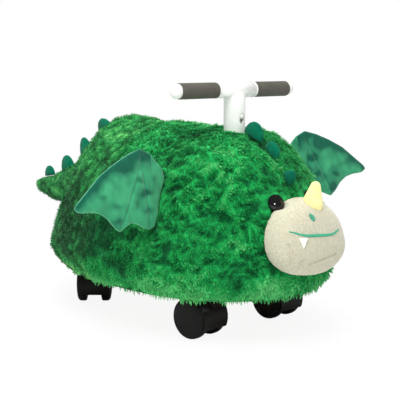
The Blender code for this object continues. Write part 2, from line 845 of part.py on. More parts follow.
def on_muzzle(y, height):
    """The point on the front of the muzzle at this side place and height, from the muzzle's middle."""
    z = height - MUZZLE_HEIGHT
    rise_share = z / MUZZLE_HALF_HEIGHT
    width_share = y / (MUZZLE_HALF_WIDTH * (1 - MUZZLE_TAPER_SHARE * rise_share))
    out = abs(rise_share) ** MUZZLE_RIM_POWER + abs(width_share) ** MUZZLE_RIM_POWER
    out = out ** (1 / MUZZLE_RIM_POWER)
    depth = MUZZLE_DEPTH * (1 - min(out, 1.0) ** MUZZLE_FRONT_POWER) ** (1 / MUZZLE_FRONT_POWER)
    return Vector((depth - MUZZLE_LEAN_SHARE * z, y, z))


def muzzle_mesh(name):
    def reshape(point):
        return muzzle_point(Vector((point.z, point.x, point.y)))

    return shaped_ball(name, MUZZLE_SEGMENTS, MUZZLE_RINGS, reshape)


def make_muzzle(builder, body_space):
    """Stuffed muzzle with its horn, stitched mouth and nose, and felt tooth."""
    face = builder.pivot("face", (MUZZLE_X, 0, MUZZLE_HEIGHT), parent=builder.root)
    muzzle = builder.put("muzzle", muzzle_mesh("muzzle"), "velour_beige", parent=face)
    cut(muzzle, body_space)
    space = moved_out(builder.put("muzzle_space", muzzle_mesh("muzzle_space"), parent=face), GAP)

    profile = [(0.0, HORN_LENGTH)]
    for step in range(1, HORN_STEPS + 1):
        angle = math.pi / 2 * step / HORN_STEPS
        radius = HORN_TIP_RADIUS * math.sin(angle)
        profile.append((radius, HORN_LENGTH - HORN_TIP_RADIUS * (1 - math.cos(angle))))
    profile += [(HORN_RADIUS, 0.0), (HORN_RADIUS, -HORN_ROOT), (0.0, -HORN_ROOT)]
    horn = profile_mesh("horn", profile)
    seat = on_muzzle(HORN_Y, HORN_HEIGHT)
    horn = turn_profile(builder.put("horn", horn, "horn_yellow", seat, (0, HORN_LEAN, 0), face))
    cut(horn, space, body_space)

    points = []
    for step in range(MOUTH_POINTS):
        share = 2 * step / (MOUTH_POINTS - 1) - 1
        height = MOUTH_HEIGHT + MOUTH_RISE * share**MOUTH_CURVE_POWER
        place = on_muzzle(MOUTH_Y + share * MOUTH_HALF_WIDTH, height)
        points.append(place + Vector((MOUTH_PROUD, 0, 0)))
    cut(wire(builder, "mouth_stitch", points, MOUTH_RADIUS, "thread_teal", face), space)

    half = TOOTH_WIDTH / 2
    share = (TOOTH_Y + half - MOUTH_Y) / MOUTH_HALF_WIDTH
    top = MOUTH_HEIGHT + MOUTH_RISE * share**MOUTH_CURVE_POWER - MOUTH_RADIUS - GAP - MUZZLE_HEIGHT
    outline = [(-half, top), (0, top - TOOTH_LENGTH), (half, top)]
    middle = on_muzzle(TOOTH_Y, MUZZLE_HEIGHT + top - TOOTH_LENGTH / 2)
    beside = on_muzzle(TOOTH_Y - half, MUZZLE_HEIGHT + middle.z)
    turn = (math.pi / 2, 0, math.atan2(middle.y - beside.y, middle.x - beside.x))
    place = (middle.x, middle.y, 0)
    thickness = 2 * TOOTH_THICKNESS
    cut(plate(builder, "tooth", [outline], thickness, "felt_white", place, turn, face), space)

    size = Vector((NOSE_PROUD, NOSE_WIDTH / 2, NOSE_LENGTH / 2))
    nose = shaped_ball("nose_stitch", BEAD_SEGMENTS, BEAD_RINGS, lambda point: size * point)
    seat = on_muzzle(NOSE_Y, NOSE_HEIGHT)
    cut(builder.put("nose_stitch", nose, "thread_teal", seat, (NOSE_TILT, 0, 0), face), space)
    return muzzle


def make_eyes(builder, front_cover, muzzle):
    """Domed plastic eyes, seated in the front cover beside the muzzle and held by a shank through it."""
    for side, facing in (("left", 1), ("right", -1)):
        seat, normal = on_body_front(facing * EYE_Y, EYE_HEIGHT)
        turn = normal.to_track_quat("Z", "Y").to_euler()
        rise = []
        for step in range(5):
            angle = math.pi / 2 * step / 4
            rise.append((EYE_RADIUS * math.sin(angle), EYE_RIM + EYE_DOME * math.cos(angle)))
        profile = rise + [
            (EYE_RADIUS, 0.0),
            (EYE_SHANK_RADIUS, 0.0),
            (EYE_SHANK_RADIUS, -EYE_SHANK),
            (0.0, -EYE_SHANK),
        ]
        node = f"eye_{side}"
        place = seat - normal * EYE_SEAT
        turn_profile(builder.put(node, profile_mesh(node, profile), "eye_black", place, turn))
        pocket = bore(f"eye_pocket_{side}", EYE_RADIUS + GAP, -GAP, OVERRUN)
        shank_hole = bore(f"shank_hole_{side}", EYE_SHANK_RADIUS + GAP, -OVERRUN, OVERRUN)
        pocket = builder.put(f"eye_pocket_{side}", pocket, None, place, turn)
        shank_hole = builder.put(f"shank_hole_{side}", shank_hole, None, place, turn)
        cut(front_cover, pocket, shank_hole)
        cut(muzzle, pocket)


def spike_mesh(name, length, height, thickness):
    """A stuffed felt fin, rounded all over: long in X, thin in Y."""

    def reshape(point):
        return Vector((point.x * length / 2, point.y * thickness / 2, point.z * height))

    return shaped_ball(name, BEAD_SEGMENTS, BEAD_RINGS, reshape)


def tail_rings():
    """Rings round the tail from its root, inside the rump, to its tip."""
    rings = []
    for along_share, drop_share, radius_share in TAIL_SHARES:
        x = TAIL_ROOT_X - TAIL_LENGTH * along_share
        middle = TAIL_HEIGHT - TAIL_RADIUS * drop_share
        ring = plain_ring(TAIL_RADIUS * radius_share, TAIL_RADIUS * radius_share, 0, TAIL_SIDES)
        rings.append([(x, y, middle + z) for z, y, _ in ring])
    return rings


def tail_top(share):
    """The height of the tail's upper side at this share of its length."""
    tops = []
    for along_share, drop_share, radius_share in TAIL_SHARES:
        tops.append((along_share, TAIL_HEIGHT + TAIL_RADIUS * (radius_share - drop_share)))
    return smooth_between(tops, share)


def make_tail(builder, body_space):
    """Stuffed tail, sewn to the rump, and the solid that cuts its fins."""
    tail = builder.put("tail", solid_skin("tail", tail_rings()), "fur_rear")
    cut(tail, body_space)
    space = builder.put("tail_space", solid_skin("tail_space", tail_rings()))
    return tail, moved_out(space, GAP)


def make_spikes(builder, body_space, tail_space):
    """Felt fins along the middle of the back, on the brow, the rump and the tail."""
    for row, spikes in (("front", FRONT_SPIKES), ("rear", REAR_SPIKES)):
        for place, (x, length, height, thickness) in spikes.items():
            node = f"spike_{row}_{place}"
            normal = body_normal(x, 0)
            seat = (x, 0, body_height(x, 0))
            turn = (0, math.atan2(normal.x, normal.z), 0)
            mesh = spike_mesh(node, length, height, thickness)
            cut(builder.put(node, mesh, "felt_teal", seat, turn), body_space, tail_space)
    for place, (share, length, height, thickness) in TAIL_SPIKES.items():
        node = f"spike_tail_{place}"
        half = length / TAIL_LENGTH / 2
        fall = math.atan2(tail_top(share - half) - tail_top(share + half), length)
        seat = (TAIL_ROOT_X - TAIL_LENGTH * share, 0, tail_top(share))
        mesh = spike_mesh(node, length, height, thickness)
        cut(builder.put(node, mesh, "felt_teal", seat, (0, -fall, 0)), tail_space, body_space)


def wing_mesh(name, facing):
    """A stuffed wing in its own plane, thin at its edge: Y runs out from the seam and Z up."""
    outline = [(WING_SPAN * out, WING_RISE * up) for out, up in WING_SHARES]
    middle_y = sum(y for y, _ in outline) / len(outline)
    middle_z = sum(z for _, z in outline) / len(outline)
    levels = []
    for step in range(1, WING_STEPS + 1):
        share = step / WING_STEPS
        swell = (WING_THICKNESS - WING_EDGE) * math.sqrt(1 - share**2) + WING_EDGE
        levels.append((share, swell / 2))
    work = bmesh.new()

    def ring(share, half, side):
        points = [
            (middle_y + (y - middle_y) * share, middle_z + (z - middle_z) * share) for y, z in outline
        ]
        return [work.verts.new((side * half, facing * y, z)) for y, z in points]

    edges = []
    for side in (1, -1):
        rows = [ring(share, half, side) for share, half in levels]
        centre = work.verts.new((side * WING_THICKNESS / 2, facing * middle_y, middle_z))
        for index, first in enumerate(rows[0]):
            work.faces.new((first, rows[0][(index + 1) % len(outline)], centre))
        for inner, outer in zip(rows, rows[1:]):
            for index, first in enumerate(inner):
                follow = (index + 1) % len(outline)
                work.faces.new((first, inner[follow], outer[follow], outer[index]))
        edges.append(rows[-1])
    for index, first in enumerate(edges[0]):
        follow = (index + 1) % len(outline)
        work.faces.new((first, edges[0][follow], edges[1][follow], edges[1][index]))
    return mesh_from(name, work)


def make_wings(builder, body_space):
    """Two stuffed wings, each turning about the upright seam at its root and clear of the body."""
    for side, facing, foot in (("left", 1, WING_FOOT_LEFT), ("right", -1, WING_FOOT_RIGHT)):
        node = f"wing_{side}"
        hinge = Vector((WING_SEAM_X, facing * WING_SEAM_Y, foot))
        turn = (0, WING_PITCH, -facing * WING_SWEEP)
        wing = builder.put(node, wing_mesh(node, facing), "felt_teal", hinge, turn)
        for share in (-1, 0, 1):
            angle = share * WING_SWING
            swung = Matrix.Rotation(angle, 3, "Z") @ -hinge + hinge
            swung_body = builder.put(f"body_from_{node}_{share}", body_space.data, None, swung)
            swung_body.rotation_euler.z = angle
            cut(wing, moved_out(swung_body, GAP))


def make_post(builder, foam, front_cover):
    """Steel core post bolted to the board, which the handle slides down over."""
    bolt_bore = BOLT_RADIUS + GAP
    foot = BOARD_TOP + GAP
    profile = [
        (CORE_RADIUS, CORE_TOP),
        (CORE_RADIUS, foot + FOOT_THICKNESS),
        (FOOT_RADIUS, foot + FOOT_THICKNESS),
        (FOOT_RADIUS, foot),
        (bolt_bore, foot),
        (bolt_bore, foot + BOLT_GRIP),
        (CORE_RADIUS - CORE_WALL, foot + BOLT_GRIP),
        (CORE_RADIUS - CORE_WALL, CORE_TOP),
    ]
    place = (POST_X, 0, 0)
    core = turn_profile(builder.put("core_post", profile_mesh("core_post", profile), "steel", place))
    button_hole = bore("button_hole", BUTTON_RADIUS + BUTTON_PLAY, 0, POST_RADIUS + OVERRUN)
    lock = (POST_X, 0, LOCK_HEIGHT)
    cut(core, builder.put("button_hole", button_hole, None, lock, TOWARDS_NOSE))

    head_top = BOARD_HEIGHT - GAP
    profile = [
        (0.0, foot + BOLT_GRIP - GAP),
        (BOLT_RADIUS, foot + BOLT_GRIP - GAP),
        (BOLT_RADIUS, head_top),
        (BOLT_HEAD_RADIUS, head_top),
        (BOLT_HEAD_RADIUS, head_top - BOLT_HEAD),
        (0.0, head_top - BOLT_HEAD),
    ]
    turn_profile(builder.put("post_bolt", profile_mesh("post_bolt", profile), "steel", place))

    foot_room = bore("foot_room", FOOT_RADIUS + GAP, 0, foot + FOOT_THICKNESS + GAP)
    post_room = bore("post_room", POST_RADIUS + POST_ROOM, 0, BAR_HEIGHT)
    post_cutter = builder.put("post_room", post_room, None, place)
    cut(foam, builder.put("foot_room", foot_room, None, place), post_cutter)
    cut(front_cover, post_cutter)


def sleeve_rings(foot):
    """Rings up the handle's sleeve and neck, which narrows fore and aft into the bar and flares sideways."""
    rings = [plain_ring(POST_RADIUS, POST_RADIUS, foot)]
    for step in range(NECK_STEPS + 1):
        share = step / NECK_STEPS
        depth = POST_RADIUS + (NECK_TOP_RADIUS - POST_RADIUS) * (1 - math.cos(math.pi / 2 * share))
        width = POST_RADIUS + NECK_FILLET * (1 - math.sqrt(1 - share**2))
        rings.append(plain_ring(depth, width, BAR_HEIGHT - NECK_LENGTH * (1 - share)))
    return rings


def plain_ring(depth, width, height, sides=ROUND_SIDES):
    """An oval of points round the Z axis."""
    angles = [2 * math.pi * side / sides for side in range(sides)]
    return [(depth * math.cos(angle), width * math.sin(angle), height) for angle in angles]


def make_handle(builder):
    """Moulded T handle with its grips, collars and end caps."""
    place = (POST_X, 0, 0)
    bar_at = (POST_X, 0, BAR_HEIGHT)
    sleeve = sleeve_rings(BOARD_TOP + GAP + FOOT_THICKNESS + GAP)
    handle = builder.put("t_handle", solid_skin("t_handle", sleeve), "plastic_white", place)
    arm_end = GRIP_END - GAP
    plug_bore = CAP_PLUG_RADIUS + GAP
    plug_foot = arm_end - CAP_PLUG - GAP
    half_bar = [
        (0.0, plug_foot),
        (plug_bore, plug_foot),
        (plug_bore, arm_end),
        (ARM_RADIUS, arm_end),
        (ARM_RADIUS, COLLAR_Y),
        (BAR_RADIUS, COLLAR_Y),
    ]
    other_half = [(radius, -along) for radius, along in reversed(half_bar)]
    bar = builder.put("bar", profile_mesh("bar", half_bar + other_half), None, bar_at, SIDEWAYS)
    join(handle, turn_profile(bar))

    handle_bore = bore("handle_bore", POST_RADIUS - POST_WALL, 0, CORE_TOP + GAP)
    reach = POST_RADIUS + OVERRUN
    slot = plate(
        builder,
        "lock_slot",
        [slot_outline(LOCK_SLOT_WIDTH / 2, LOCK_SLOT_DROP)],
        reach,
        place=(POST_X + reach / 2, 0, LOCK_HEIGHT),
        turn=TOWARDS_NOSE,
    )
    cut(handle, builder.put("handle_bore", handle_bore, None, place), slot)

    for side, facing in (("left", 1), ("right", -1)):
        turn = (-facing * math.pi / 2, 0, 0)
        inner = ARM_RADIUS + GAP
        collar_start = COLLAR_Y + GAP
        collar_end = collar_start + COLLAR_WIDTH
        profile = [
            (COLLAR_RADIUS, collar_end),
            (COLLAR_RADIUS, collar_start),
            (inner, collar_start),
            (inner, collar_end),
        ]
        node = f"grip_collar_{side}"
        turn_profile(builder.put(node, profile_mesh(node, profile), "plastic_white", bar_at, turn))

        profile = [
            (GRIP_RADIUS - GRIP_ROUND, GRIP_END),
            (GRIP_RADIUS, GRIP_END - GRIP_ROUND),
            (GRIP_RADIUS, GRIP_START),
            (inner, GRIP_START),
            (inner, GRIP_END),
        ]
        node = f"grip_{side}"
        turn_profile(builder.put(node, profile_mesh(node, profile), "rubber_grey", bar_at, turn))

        cap_foot = GRIP_END + GAP
        dome = []
        for step in range(5):
            angle = math.pi / 2 * step / 4
            rise = (CAP_LENGTH - CAP_RIM) * math.cos(angle)
            dome.append((CAP_RADIUS * math.sin(angle), cap_foot + CAP_RIM + rise))
        profile = dome + [
            (CAP_RADIUS, cap_foot),
            (CAP_PLUG_RADIUS, cap_foot),
            (CAP_PLUG_RADIUS, arm_end - CAP_PLUG),
            (0.0, arm_end - CAP_PLUG),
        ]
        node = f"end_cap_{side}"
        turn_profile(builder.put(node, profile_mesh(node, profile), "plastic_white", bar_at, turn))


def slot_outline(half, drop):
    """A slot with round ends, whose upper end is centred on the origin; X runs down it."""
    outline = []
    for centre, start in ((drop, -math.pi / 2), (0.0, math.pi / 2)):
        for step in range(SLOT_STEPS + 1):
            angle = start + math.pi * step / SLOT_STEPS
            outline.append((centre + half * math.cos(angle), half * math.sin(angle)))
    return outline


def button_flange():
    """The front and the back of the button's flange, out from the post's axis."""
    front = math.sqrt((CORE_RADIUS - CORE_WALL - BUTTON_PLAY) ** 2 - BUTTON_FLANGE_RADIUS**2)
    return front, front - BUTTON_FLANGE


def spring_ends():
    """The middle of the spring's wire at its fixed end and at the button, out from the post's axis."""
    reach = SPRING_RADIUS + SPRING_WIRE_RADIUS
    wall = math.sqrt((CORE_RADIUS - CORE_WALL) ** 2 - reach**2)
    return SPRING_WIRE_RADIUS + GAP - wall, button_flange()[1] - SPRING_WIRE_RADIUS - GAP


def make_lock(builder):
    """Sprung button inside the core post, which pokes through the handle's slot."""
    lock = (POST_X, 0, LOCK_HEIGHT)
    tip = POST_RADIUS + BUTTON_PROUD
    dome = []
    for step in range(BUTTON_STEPS + 1):
        angle = math.pi / 2 * step / BUTTON_STEPS
        dome.append((BUTTON_RADIUS * math.sin(angle), tip - BUTTON_DOME * (1 - math.cos(angle))))
    flange_front, flange_back = button_flange()
    profile = dome + [
        (BUTTON_RADIUS, flange_front),
        (BUTTON_FLANGE_RADIUS, flange_front),
        (BUTTON_FLANGE_RADIUS, flange_back),
        (0.0, flange_back),
    ]
    mesh = profile_mesh("lock_button", profile)
    turn_profile(builder.put("lock_button", mesh, "plastic_white", lock, TOWARDS_NOSE))

    start, end = spring_ends()
    count = SPRING_TURNS * SPRING_POINTS
    points = []
    for step in range(count + 1):
        angle = 2 * math.pi * step / SPRING_POINTS
        x = POST_X + start + (end - start) * step / count
        y, z = SPRING_RADIUS * math.cos(angle), SPRING_RADIUS * math.sin(angle)
        points.append((x, y, LOCK_HEIGHT + z))
    wire(builder, "button_spring", points, SPRING_WIRE_RADIUS, "steel", resolution=1)


def centre_on_length(builder, muzzle, tail):
    """Moves the whole animal so that the origin lies under the middle of its length."""
    bpy.context.view_layer.update()
    graph = bpy.context.evaluated_depsgraph_get()
    ends = []
    for item in (muzzle, tail):
        shape = item.evaluated_get(graph)
        ends += [(item.matrix_world @ Vector(corner)).x for corner in shape.bound_box]
    builder.root.location.x = -(max(ends) + min(ends)) / 2


def main():
    builder = Builder()
    foam, panels, body_space = make_body(builder)
    make_board(builder)
    make_binding(builder)
    for name, place in caster_places().items():
        make_caster(builder, name, *place)
    muzzle = make_muzzle(builder, body_space)
    make_eyes(builder, panels["front"], muzzle)
    tail, tail_space = make_tail(builder, body_space)
    make_spikes(builder, body_space, tail_space)
    make_wings(builder, body_space)
    make_post(builder, foam, panels["front"])
    make_handle(builder)
    make_lock(builder)
    centre_on_length(builder, muzzle, tail)


main()
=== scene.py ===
"""Looks of a plush ride-on animal, built round its packed construction model.

Every piece is made in place, in metres, with its object at the origin.
"""

import json
import math
import random
from collections import namedtuple

import bmesh
import bpy
import numpy as np
from bpy.props import FloatProperty, FloatVectorProperty, PointerProperty
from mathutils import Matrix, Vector, noise
from mathutils.bvhtree import BVHTree

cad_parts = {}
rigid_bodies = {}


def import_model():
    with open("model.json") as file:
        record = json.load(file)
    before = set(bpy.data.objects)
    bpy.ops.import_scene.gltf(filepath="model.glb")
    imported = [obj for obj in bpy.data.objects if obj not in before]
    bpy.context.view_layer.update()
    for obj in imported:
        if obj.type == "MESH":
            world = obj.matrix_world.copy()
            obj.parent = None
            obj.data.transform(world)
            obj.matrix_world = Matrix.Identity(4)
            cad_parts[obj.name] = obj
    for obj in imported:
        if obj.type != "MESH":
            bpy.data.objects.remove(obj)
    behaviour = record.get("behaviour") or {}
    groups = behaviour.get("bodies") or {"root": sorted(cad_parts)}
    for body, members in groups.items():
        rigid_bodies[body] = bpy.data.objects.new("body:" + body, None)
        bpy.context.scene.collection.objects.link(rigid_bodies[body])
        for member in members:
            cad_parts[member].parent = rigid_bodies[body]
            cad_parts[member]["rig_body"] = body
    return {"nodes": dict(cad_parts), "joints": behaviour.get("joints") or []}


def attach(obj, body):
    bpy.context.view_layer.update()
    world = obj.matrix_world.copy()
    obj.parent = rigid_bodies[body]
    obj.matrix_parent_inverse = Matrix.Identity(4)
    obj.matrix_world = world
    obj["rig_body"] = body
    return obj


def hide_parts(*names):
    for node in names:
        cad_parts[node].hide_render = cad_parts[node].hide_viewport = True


bl_info = {
    "name": "Plush Ride-On Animal",
    "version": (1, 0, 0),
    "blender": (4, 5, 0),
    "location": "View3D > Sidebar > Ride-On",
    "description": "Builds the fur, felt, stitching, handle and casters of a plush ride-on animal",
    "category": "Add Mesh",
}

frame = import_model()
NODES = frame["nodes"]
JOINTS = {joint["name"]: joint for joint in frame["joints"]}
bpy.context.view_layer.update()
CASTERS = ("front_right", "front_left", "rear_right", "rear_left")
SIDES = {"left": 1, "right": -1}
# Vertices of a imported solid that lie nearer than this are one
MERGE = 0.00002


# Node trees

def linear(red, green, blue):
    """A linear colour from three values of 0 to 255 as a screen shows them."""
    shares = [value / 255 for value in (red, green, blue)]
    return tuple(v / 12.92 if v <= 0.04045 else ((v + 0.055) / 1.055) ** 2.4 for v in shares)


class Field:
    """A node's output that takes part in Python sums."""

    def __init__(self, board, socket):
        self.board = board
        self.socket = socket

    def sum(self, operation, *terms, clamp=False):
        settings = {"operation": operation, "use_clamp": clamp}
        return self.board.out("ShaderNodeMath", 0, settings, dict(enumerate(terms)))

    def __add__(self, other):
        return self.sum("ADD", self, other)

    def __sub__(self, other):
        return self.sum("SUBTRACT", self, other)

    def __mul__(self, other):
        return self.sum("MULTIPLY", self, other)

    def __truediv__(self, other):
        return self.sum("DIVIDE", self, other)

    def __rsub__(self, other):
        return self.sum("SUBTRACT", other, self)

    def __rtruediv__(self, other):
        return self.sum("DIVIDE", other, self)

    __radd__ = __add__
    __rmul__ = __mul__

    def held(self):
        """The value kept between 0 and 1."""
        return self.sum("ADD", self, 0.0, clamp=True)


class Board:
    """A node tree written as Python: each call adds a node, sets it, then feeds its sockets."""

    def __init__(self, tree):
        self.tree = tree
        tree.nodes.clear()

    def add(self, kind, settings=None, inputs=None):
        node = self.tree.nodes.new(kind)
        for key, value in (settings or {}).items():
            setattr(node, key, value)
        for key, value in (inputs or {}).items():
            self.feed(node.inputs[key], value)
        return node

    def feed(self, socket, value):
        if isinstance(value, Field):
            self.tree.links.new(value.socket, socket)
        else:
            socket.default_value = value

    def out(self, kind, output, settings=None, inputs=None):
        return Field(self, self.add(kind, settings, inputs).outputs[output])

    def vector(self, operation, first, second=None):
        """A vector sum; SCALE multiplies a vector by a value."""
        inputs = {0: first}
        if second is not None:
            inputs["Scale" if operation == "SCALE" else 1] = second
        return self.out("ShaderNodeVectorMath", 0, {"operation": operation}, inputs)

    def named(self, name, kind="FLOAT"):
        """An attribute of the mesh that a geometry group works on."""
        return self.out("GeometryNodeInputNamedAttribute", 0, {"data_type": kind}, {"Name": name})

    def turned(self, primary, secondary, *ways):
        """The rotation that points two of a copy's axes these two ways."""
        settings = {"primary_axis": primary, "secondary_axis": secondary}
        return self.out("FunctionNodeAxesToRotation", 0, settings, dict(enumerate(ways)))

    def ray(self, kind):
        """1 for rays of this kind."""
        return self.out("ShaderNodeLightPath", f"Is {kind} Ray")

    def seen(self):
        """1 for what the camera sees, also through a film's clear parts."""
        return (self.ray("Camera") + self.ray("Transmission")).held()


class Shader(Board):
    """A material's nodes, round one Principled shader."""

    def __init__(self, name, roughness=0.5, metallic=0.0, **fixed):
        self.material = bpy.data.materials.new(name)
        self.material.use_nodes = True
        super().__init__(self.material.node_tree)
        constants = {"Roughness": roughness, "Metallic": metallic}
        constants.update({key.replace("_", " "): value for key, value in fixed.items()})
        principled = self.add("ShaderNodeBsdfPrincipled", None, constants)
        self.inputs = principled.inputs
        self.surface = Field(self, principled.outputs[0])
        self.end = self.add("ShaderNodeOutputMaterial", None, {0: self.surface}).inputs[0]
        self.place = self.out("ShaderNodeTexCoord", "Object")

    def give(self, name, value):
        """Sets or feeds one input of the surface."""
        self.feed(self.inputs[name], value)

    def attribute(self, name, output="Fac"):
        return self.out("ShaderNodeAttribute", output, {"attribute_name": name})

    def grain(self, scale, detail=2.0, roughness=0.5, distortion=0.0, stretch=(1, 1, 1)):
        """Noise of this many features a metre, drawn out along an axis by a smaller stretch."""
        place = self.out("ShaderNodeMapping", 0, None, {"Vector": self.place, "Scale": stretch})
        inputs = {"Vector": place, "Scale": scale, "Detail": detail}
        inputs.update({"Roughness": roughness, "Distortion": distortion})
        return self.out("ShaderNodeTexNoise", "Fac", None, inputs)

    def tones(self, value, *stops):
        """Colours the surface by a value, from (place, colour) stops."""
        node = self.add("ShaderNodeValToRGB", None, {"Fac": value})
        elements = node.color_ramp.elements
        while len(elements) < len(stops):
            elements.new(0.5)
        for element, (place, colour) in zip(elements, stops):
            element.position = place
            element.color = (*colour, 1)
        self.give("Base Color", Field(self, node.outputs["Color"]))

    def step(self, value, low, high):
        """A smooth rise from 0 to 1 as a value goes from low to high."""
        inputs = {"Value": value, "From Min": low, "From Max": high}
        return self.out("ShaderNodeMapRange", 0, {"interpolation_type": "SMOOTHSTEP"}, inputs)

    def bump(self, height, distance):
        self.give("Normal", self.out("ShaderNodeBump", 0, None, {"Height": height, "Distance": distance}))


# Materials

def fur(name, root, middle, tip, patches, rise, crest):
    """Soft pile with painted shade at its roots and in the creases, so it is brightest at its tips, and lit
    like its skin.
    """
    skin = Shader(name, 0.95, Specular_IOR_Level=0.08, Sheen_Weight=0.08, Sheen_Roughness=0.6)
    broad = skin.grain(patches, 3.0, 0.55) * 0.7 - 0.35
    fine = skin.grain(420.0, 1.0) * 0.12 - 0.06
    tuft = skin.attribute("tint") * 0.34 - 0.17
    # Painted shade: darker down the pile towards its roots (along) and in the creases of its relief (crest)
    height = skin.attribute("along") * rise + skin.attribute("crest") * crest
    shade = (height + tuft + broad + fine - 0.18).held()
    skin.tones(shade, (0.05, root), (0.50, middle), (0.98, tip))
    true = skin.out("ShaderNodeNewGeometry", "Normal")
    below = skin.attribute("skin_normal", "Vector")
    mixed = skin.out("ShaderNodeMix", 1, {"data_type": "VECTOR"}, {0: 0.62, 4: true, 5: below})
    skin.give("Normal", skin.vector("NORMALIZE", mixed))
    return skin.material


def velour(name, light, dark, scale, depth, sheen=0.3):
    """Short-napped cloth: mottled where the nap lies differently, with fine fibres."""
    cloth = Shader(name, 0.9, Specular_IOR_Level=0.08, Sheen_Weight=sheen, Sheen_Roughness=0.5)
    mottle = cloth.grain(scale, 4.0, 0.6, 0.6)
    fibre = cloth.grain(1500.0, 2.0, 0.7)
    shade = (cloth.step(mottle, 0.35, 0.68) * 0.75 + fibre * 0.35).held()
    cloth.tones(shade, (0.0, dark), (1.0, light))
    cloth.bump(fibre * 0.5 + cloth.grain(scale * 5, 3.0) * 0.5, depth)
    return cloth.material


def crushed_nap(name, light, dark):
    """Shiny short plush whose nap is stroked dark in smudges and along one edge, with painted shade in its
    seams and over the far wing.
    """
    cloth = Shader(name, 0.8, Specular_IOR_Level=0.2, Sheen_Weight=0.25, Sheen_Roughness=0.4)
    fibre = cloth.grain(1300.0, 2.0, 0.7)
    cloud = cloth.grain(48.0, 3.0, 0.6, 0.5) * 0.5 - 0.25
    shade = (1 - cloth.attribute("nap_and_painted_shade") + fibre * 0.2 - 0.1 + cloud).held()
    cloth.tones(shade, (0.0, dark), (1.0, light))
    cloth.bump(fibre, 0.0003)
    return cloth.material


def moulded(name, light, dark, roughness, pebble, depth, shine=0.45):
    """Moulded plastic or rubber with a faint grain, and a little wear in its shine."""
    plastic = Shader(name, roughness, Specular_IOR_Level=shine)
    wear = plastic.grain(45.0, 5.0, 0.65)
    plastic.tones(plastic.step(wear, 0.35, 0.7), (0.0, dark), (1.0, light))
    plastic.give("Roughness", (wear * 0.22 + (roughness - 0.1)).held())
    plastic.bump(plastic.grain(pebble, 2.0), depth)
    return plastic.material


def thread(name, light, dark):
    """Glossy embroidery thread, with twisted plies."""
    yarn = Shader(name, 0.45, Specular_IOR_Level=0.5, Sheen_Weight=0.3)
    ply = yarn.grain(2600.0, 1.0, 0.5, 0.0, (0.35, 1, 1))
    yarn.tones(ply, (0.35, dark), (0.65, light))
    yarn.bump(ply, 0.0003)
    return yarn.material


def wood(name, light, dark):
    """Birch plywood with its grain along the board."""
    board = Shader(name, 0.6)
    board.tones(board.grain(60.0, 4.0, 0.6, 1.5, (0.08, 1, 1)), (0.3, dark), (0.7, light))
    board.bump(board.grain(500.0, 2.0, 0.5, 0.0, (0.05, 1, 1)), 0.0002)
    return board.material


def clouded(name, light, dark, shine, metallic, pattern, spread):
    """A smooth hard surface with faint clouds in its colour and its roughness."""
    scale, detail, low, high = pattern
    base, range_ = spread
    hard = Shader(name, shine, metallic)
    cloud = hard.grain(scale, detail)
    hard.tones(cloud, (low, dark), (high, light))
    hard.give("Roughness", (cloud * range_ + base).held())
    return hard.material


def woven(name, light, dark):
    """Plain woven tape."""
    tape = Shader(name, 0.85)
    inputs = {"Vector": tape.place, "Scale": 260.0}
    over, under = (tape.out("ShaderNodeTexWave", "Fac", {"bands_direction": way}, inputs) for way in "XY")
    weave = over * under
    tape.tones(weave, (0.1, dark), (0.7, light))
    tape.bump(weave, 0.0003)
    return tape.material


def open_cell(name, light, dark):
    """Cut foam, pitted all over."""
    sponge = Shader(name, 0.95)
    pit = sponge.out("ShaderNodeTexVoronoi", "Distance", None, {"Vector": sponge.place, "Scale": 700.0})
    sponge.tones(pit, (0.1, dark), (0.6, light))
    sponge.bump(pit, 0.0006)
    return sponge.material


# Clouds in a hard surface: noise features a metre and their detail, and the levels of its two colours
GLASS_CLOUD = (900.0, 2.0, 0.4, 0.8)
STEEL_CLOUD = (120.0, 3.0, 0.3, 0.7)


def finishes(looks):
    """All the materials, by name."""
    recipes = {
        "fur_front": (fur, looks.fur_shaded_root, looks.fur_middle, looks.fur_tip, 26.0, 0.46, 0.82),
        "fur_rear": (fur, looks.curl_shaded_root, looks.curl_middle, looks.curl_tip, 34.0, 0.34, 0.90),
        "nap_teal": (crushed_nap, looks.wing_light, looks.wing_dark),
        "piping_teal": (velour, linear(118, 190, 154), linear(70, 158, 120), 90.0, 0.0002),
        "felt_teal": (velour, linear(0, 114, 82), linear(0, 84, 62), 60.0, 0.0004, 0.08),
        "velour_beige": (velour, linear(206, 203, 180), linear(184, 180, 156), 300.0, 0.0005),
        "horn_yellow": (velour, linear(255, 246, 178), linear(248, 228, 150), 70.0, 0.0003),
        "felt_white": (velour, linear(250, 250, 246), linear(232, 232, 226), 80.0, 0.0003),
        "thread_teal": (thread, linear(56, 186, 150), linear(38, 158, 116)),
        "eye_black": (clouded, linear(14, 14, 15), linear(6, 6, 6), 0.08, 0.0, GLASS_CLOUD, (0.06, 0.05)),
        "plastic_white": (moulded, linear(246, 247, 244), linear(236, 238, 233), 0.3, 260.0, 0.00005),
        "plastic_black": (moulded, linear(11, 11, 10), linear(7, 7, 7), 0.5, 800.0, 0.0001, 0.18),
        "rubber_grey": (moulded, linear(92, 89, 81), linear(84, 82, 75), 0.7, 1500.0, 0.0004, 0.3),
        "steel": (clouded, linear(205, 206, 208), linear(168, 170, 174), 0.32, 1.0, STEEL_CLOUD, (0.2, 0.25)),
        "plywood": (wood, linear(214, 182, 136), linear(176, 138, 92)),
        "tape_green": (woven, linear(40, 104, 60), linear(14, 62, 30)),
        "foam": (open_cell, linear(232, 224, 184), linear(196, 186, 140)),
    }
    return {name: make(name, *values) for name, (make, *values) in recipes.items()}


MATERIALS = {}


def finish(name):
    """One of the materials, all made on first use."""
    if not MATERIALS:
        MATERIALS.update(finishes(bpy.context.scene.plush_looks))
    return MATERIALS[name]


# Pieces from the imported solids

def held(value):
    """The value kept between 0 and 1."""
    return max(0.0, min(1.0, value))


def angles(count):
    """This many angles, evenly spread round a turn."""
    return [2 * math.pi * step / count for step in range(count)]


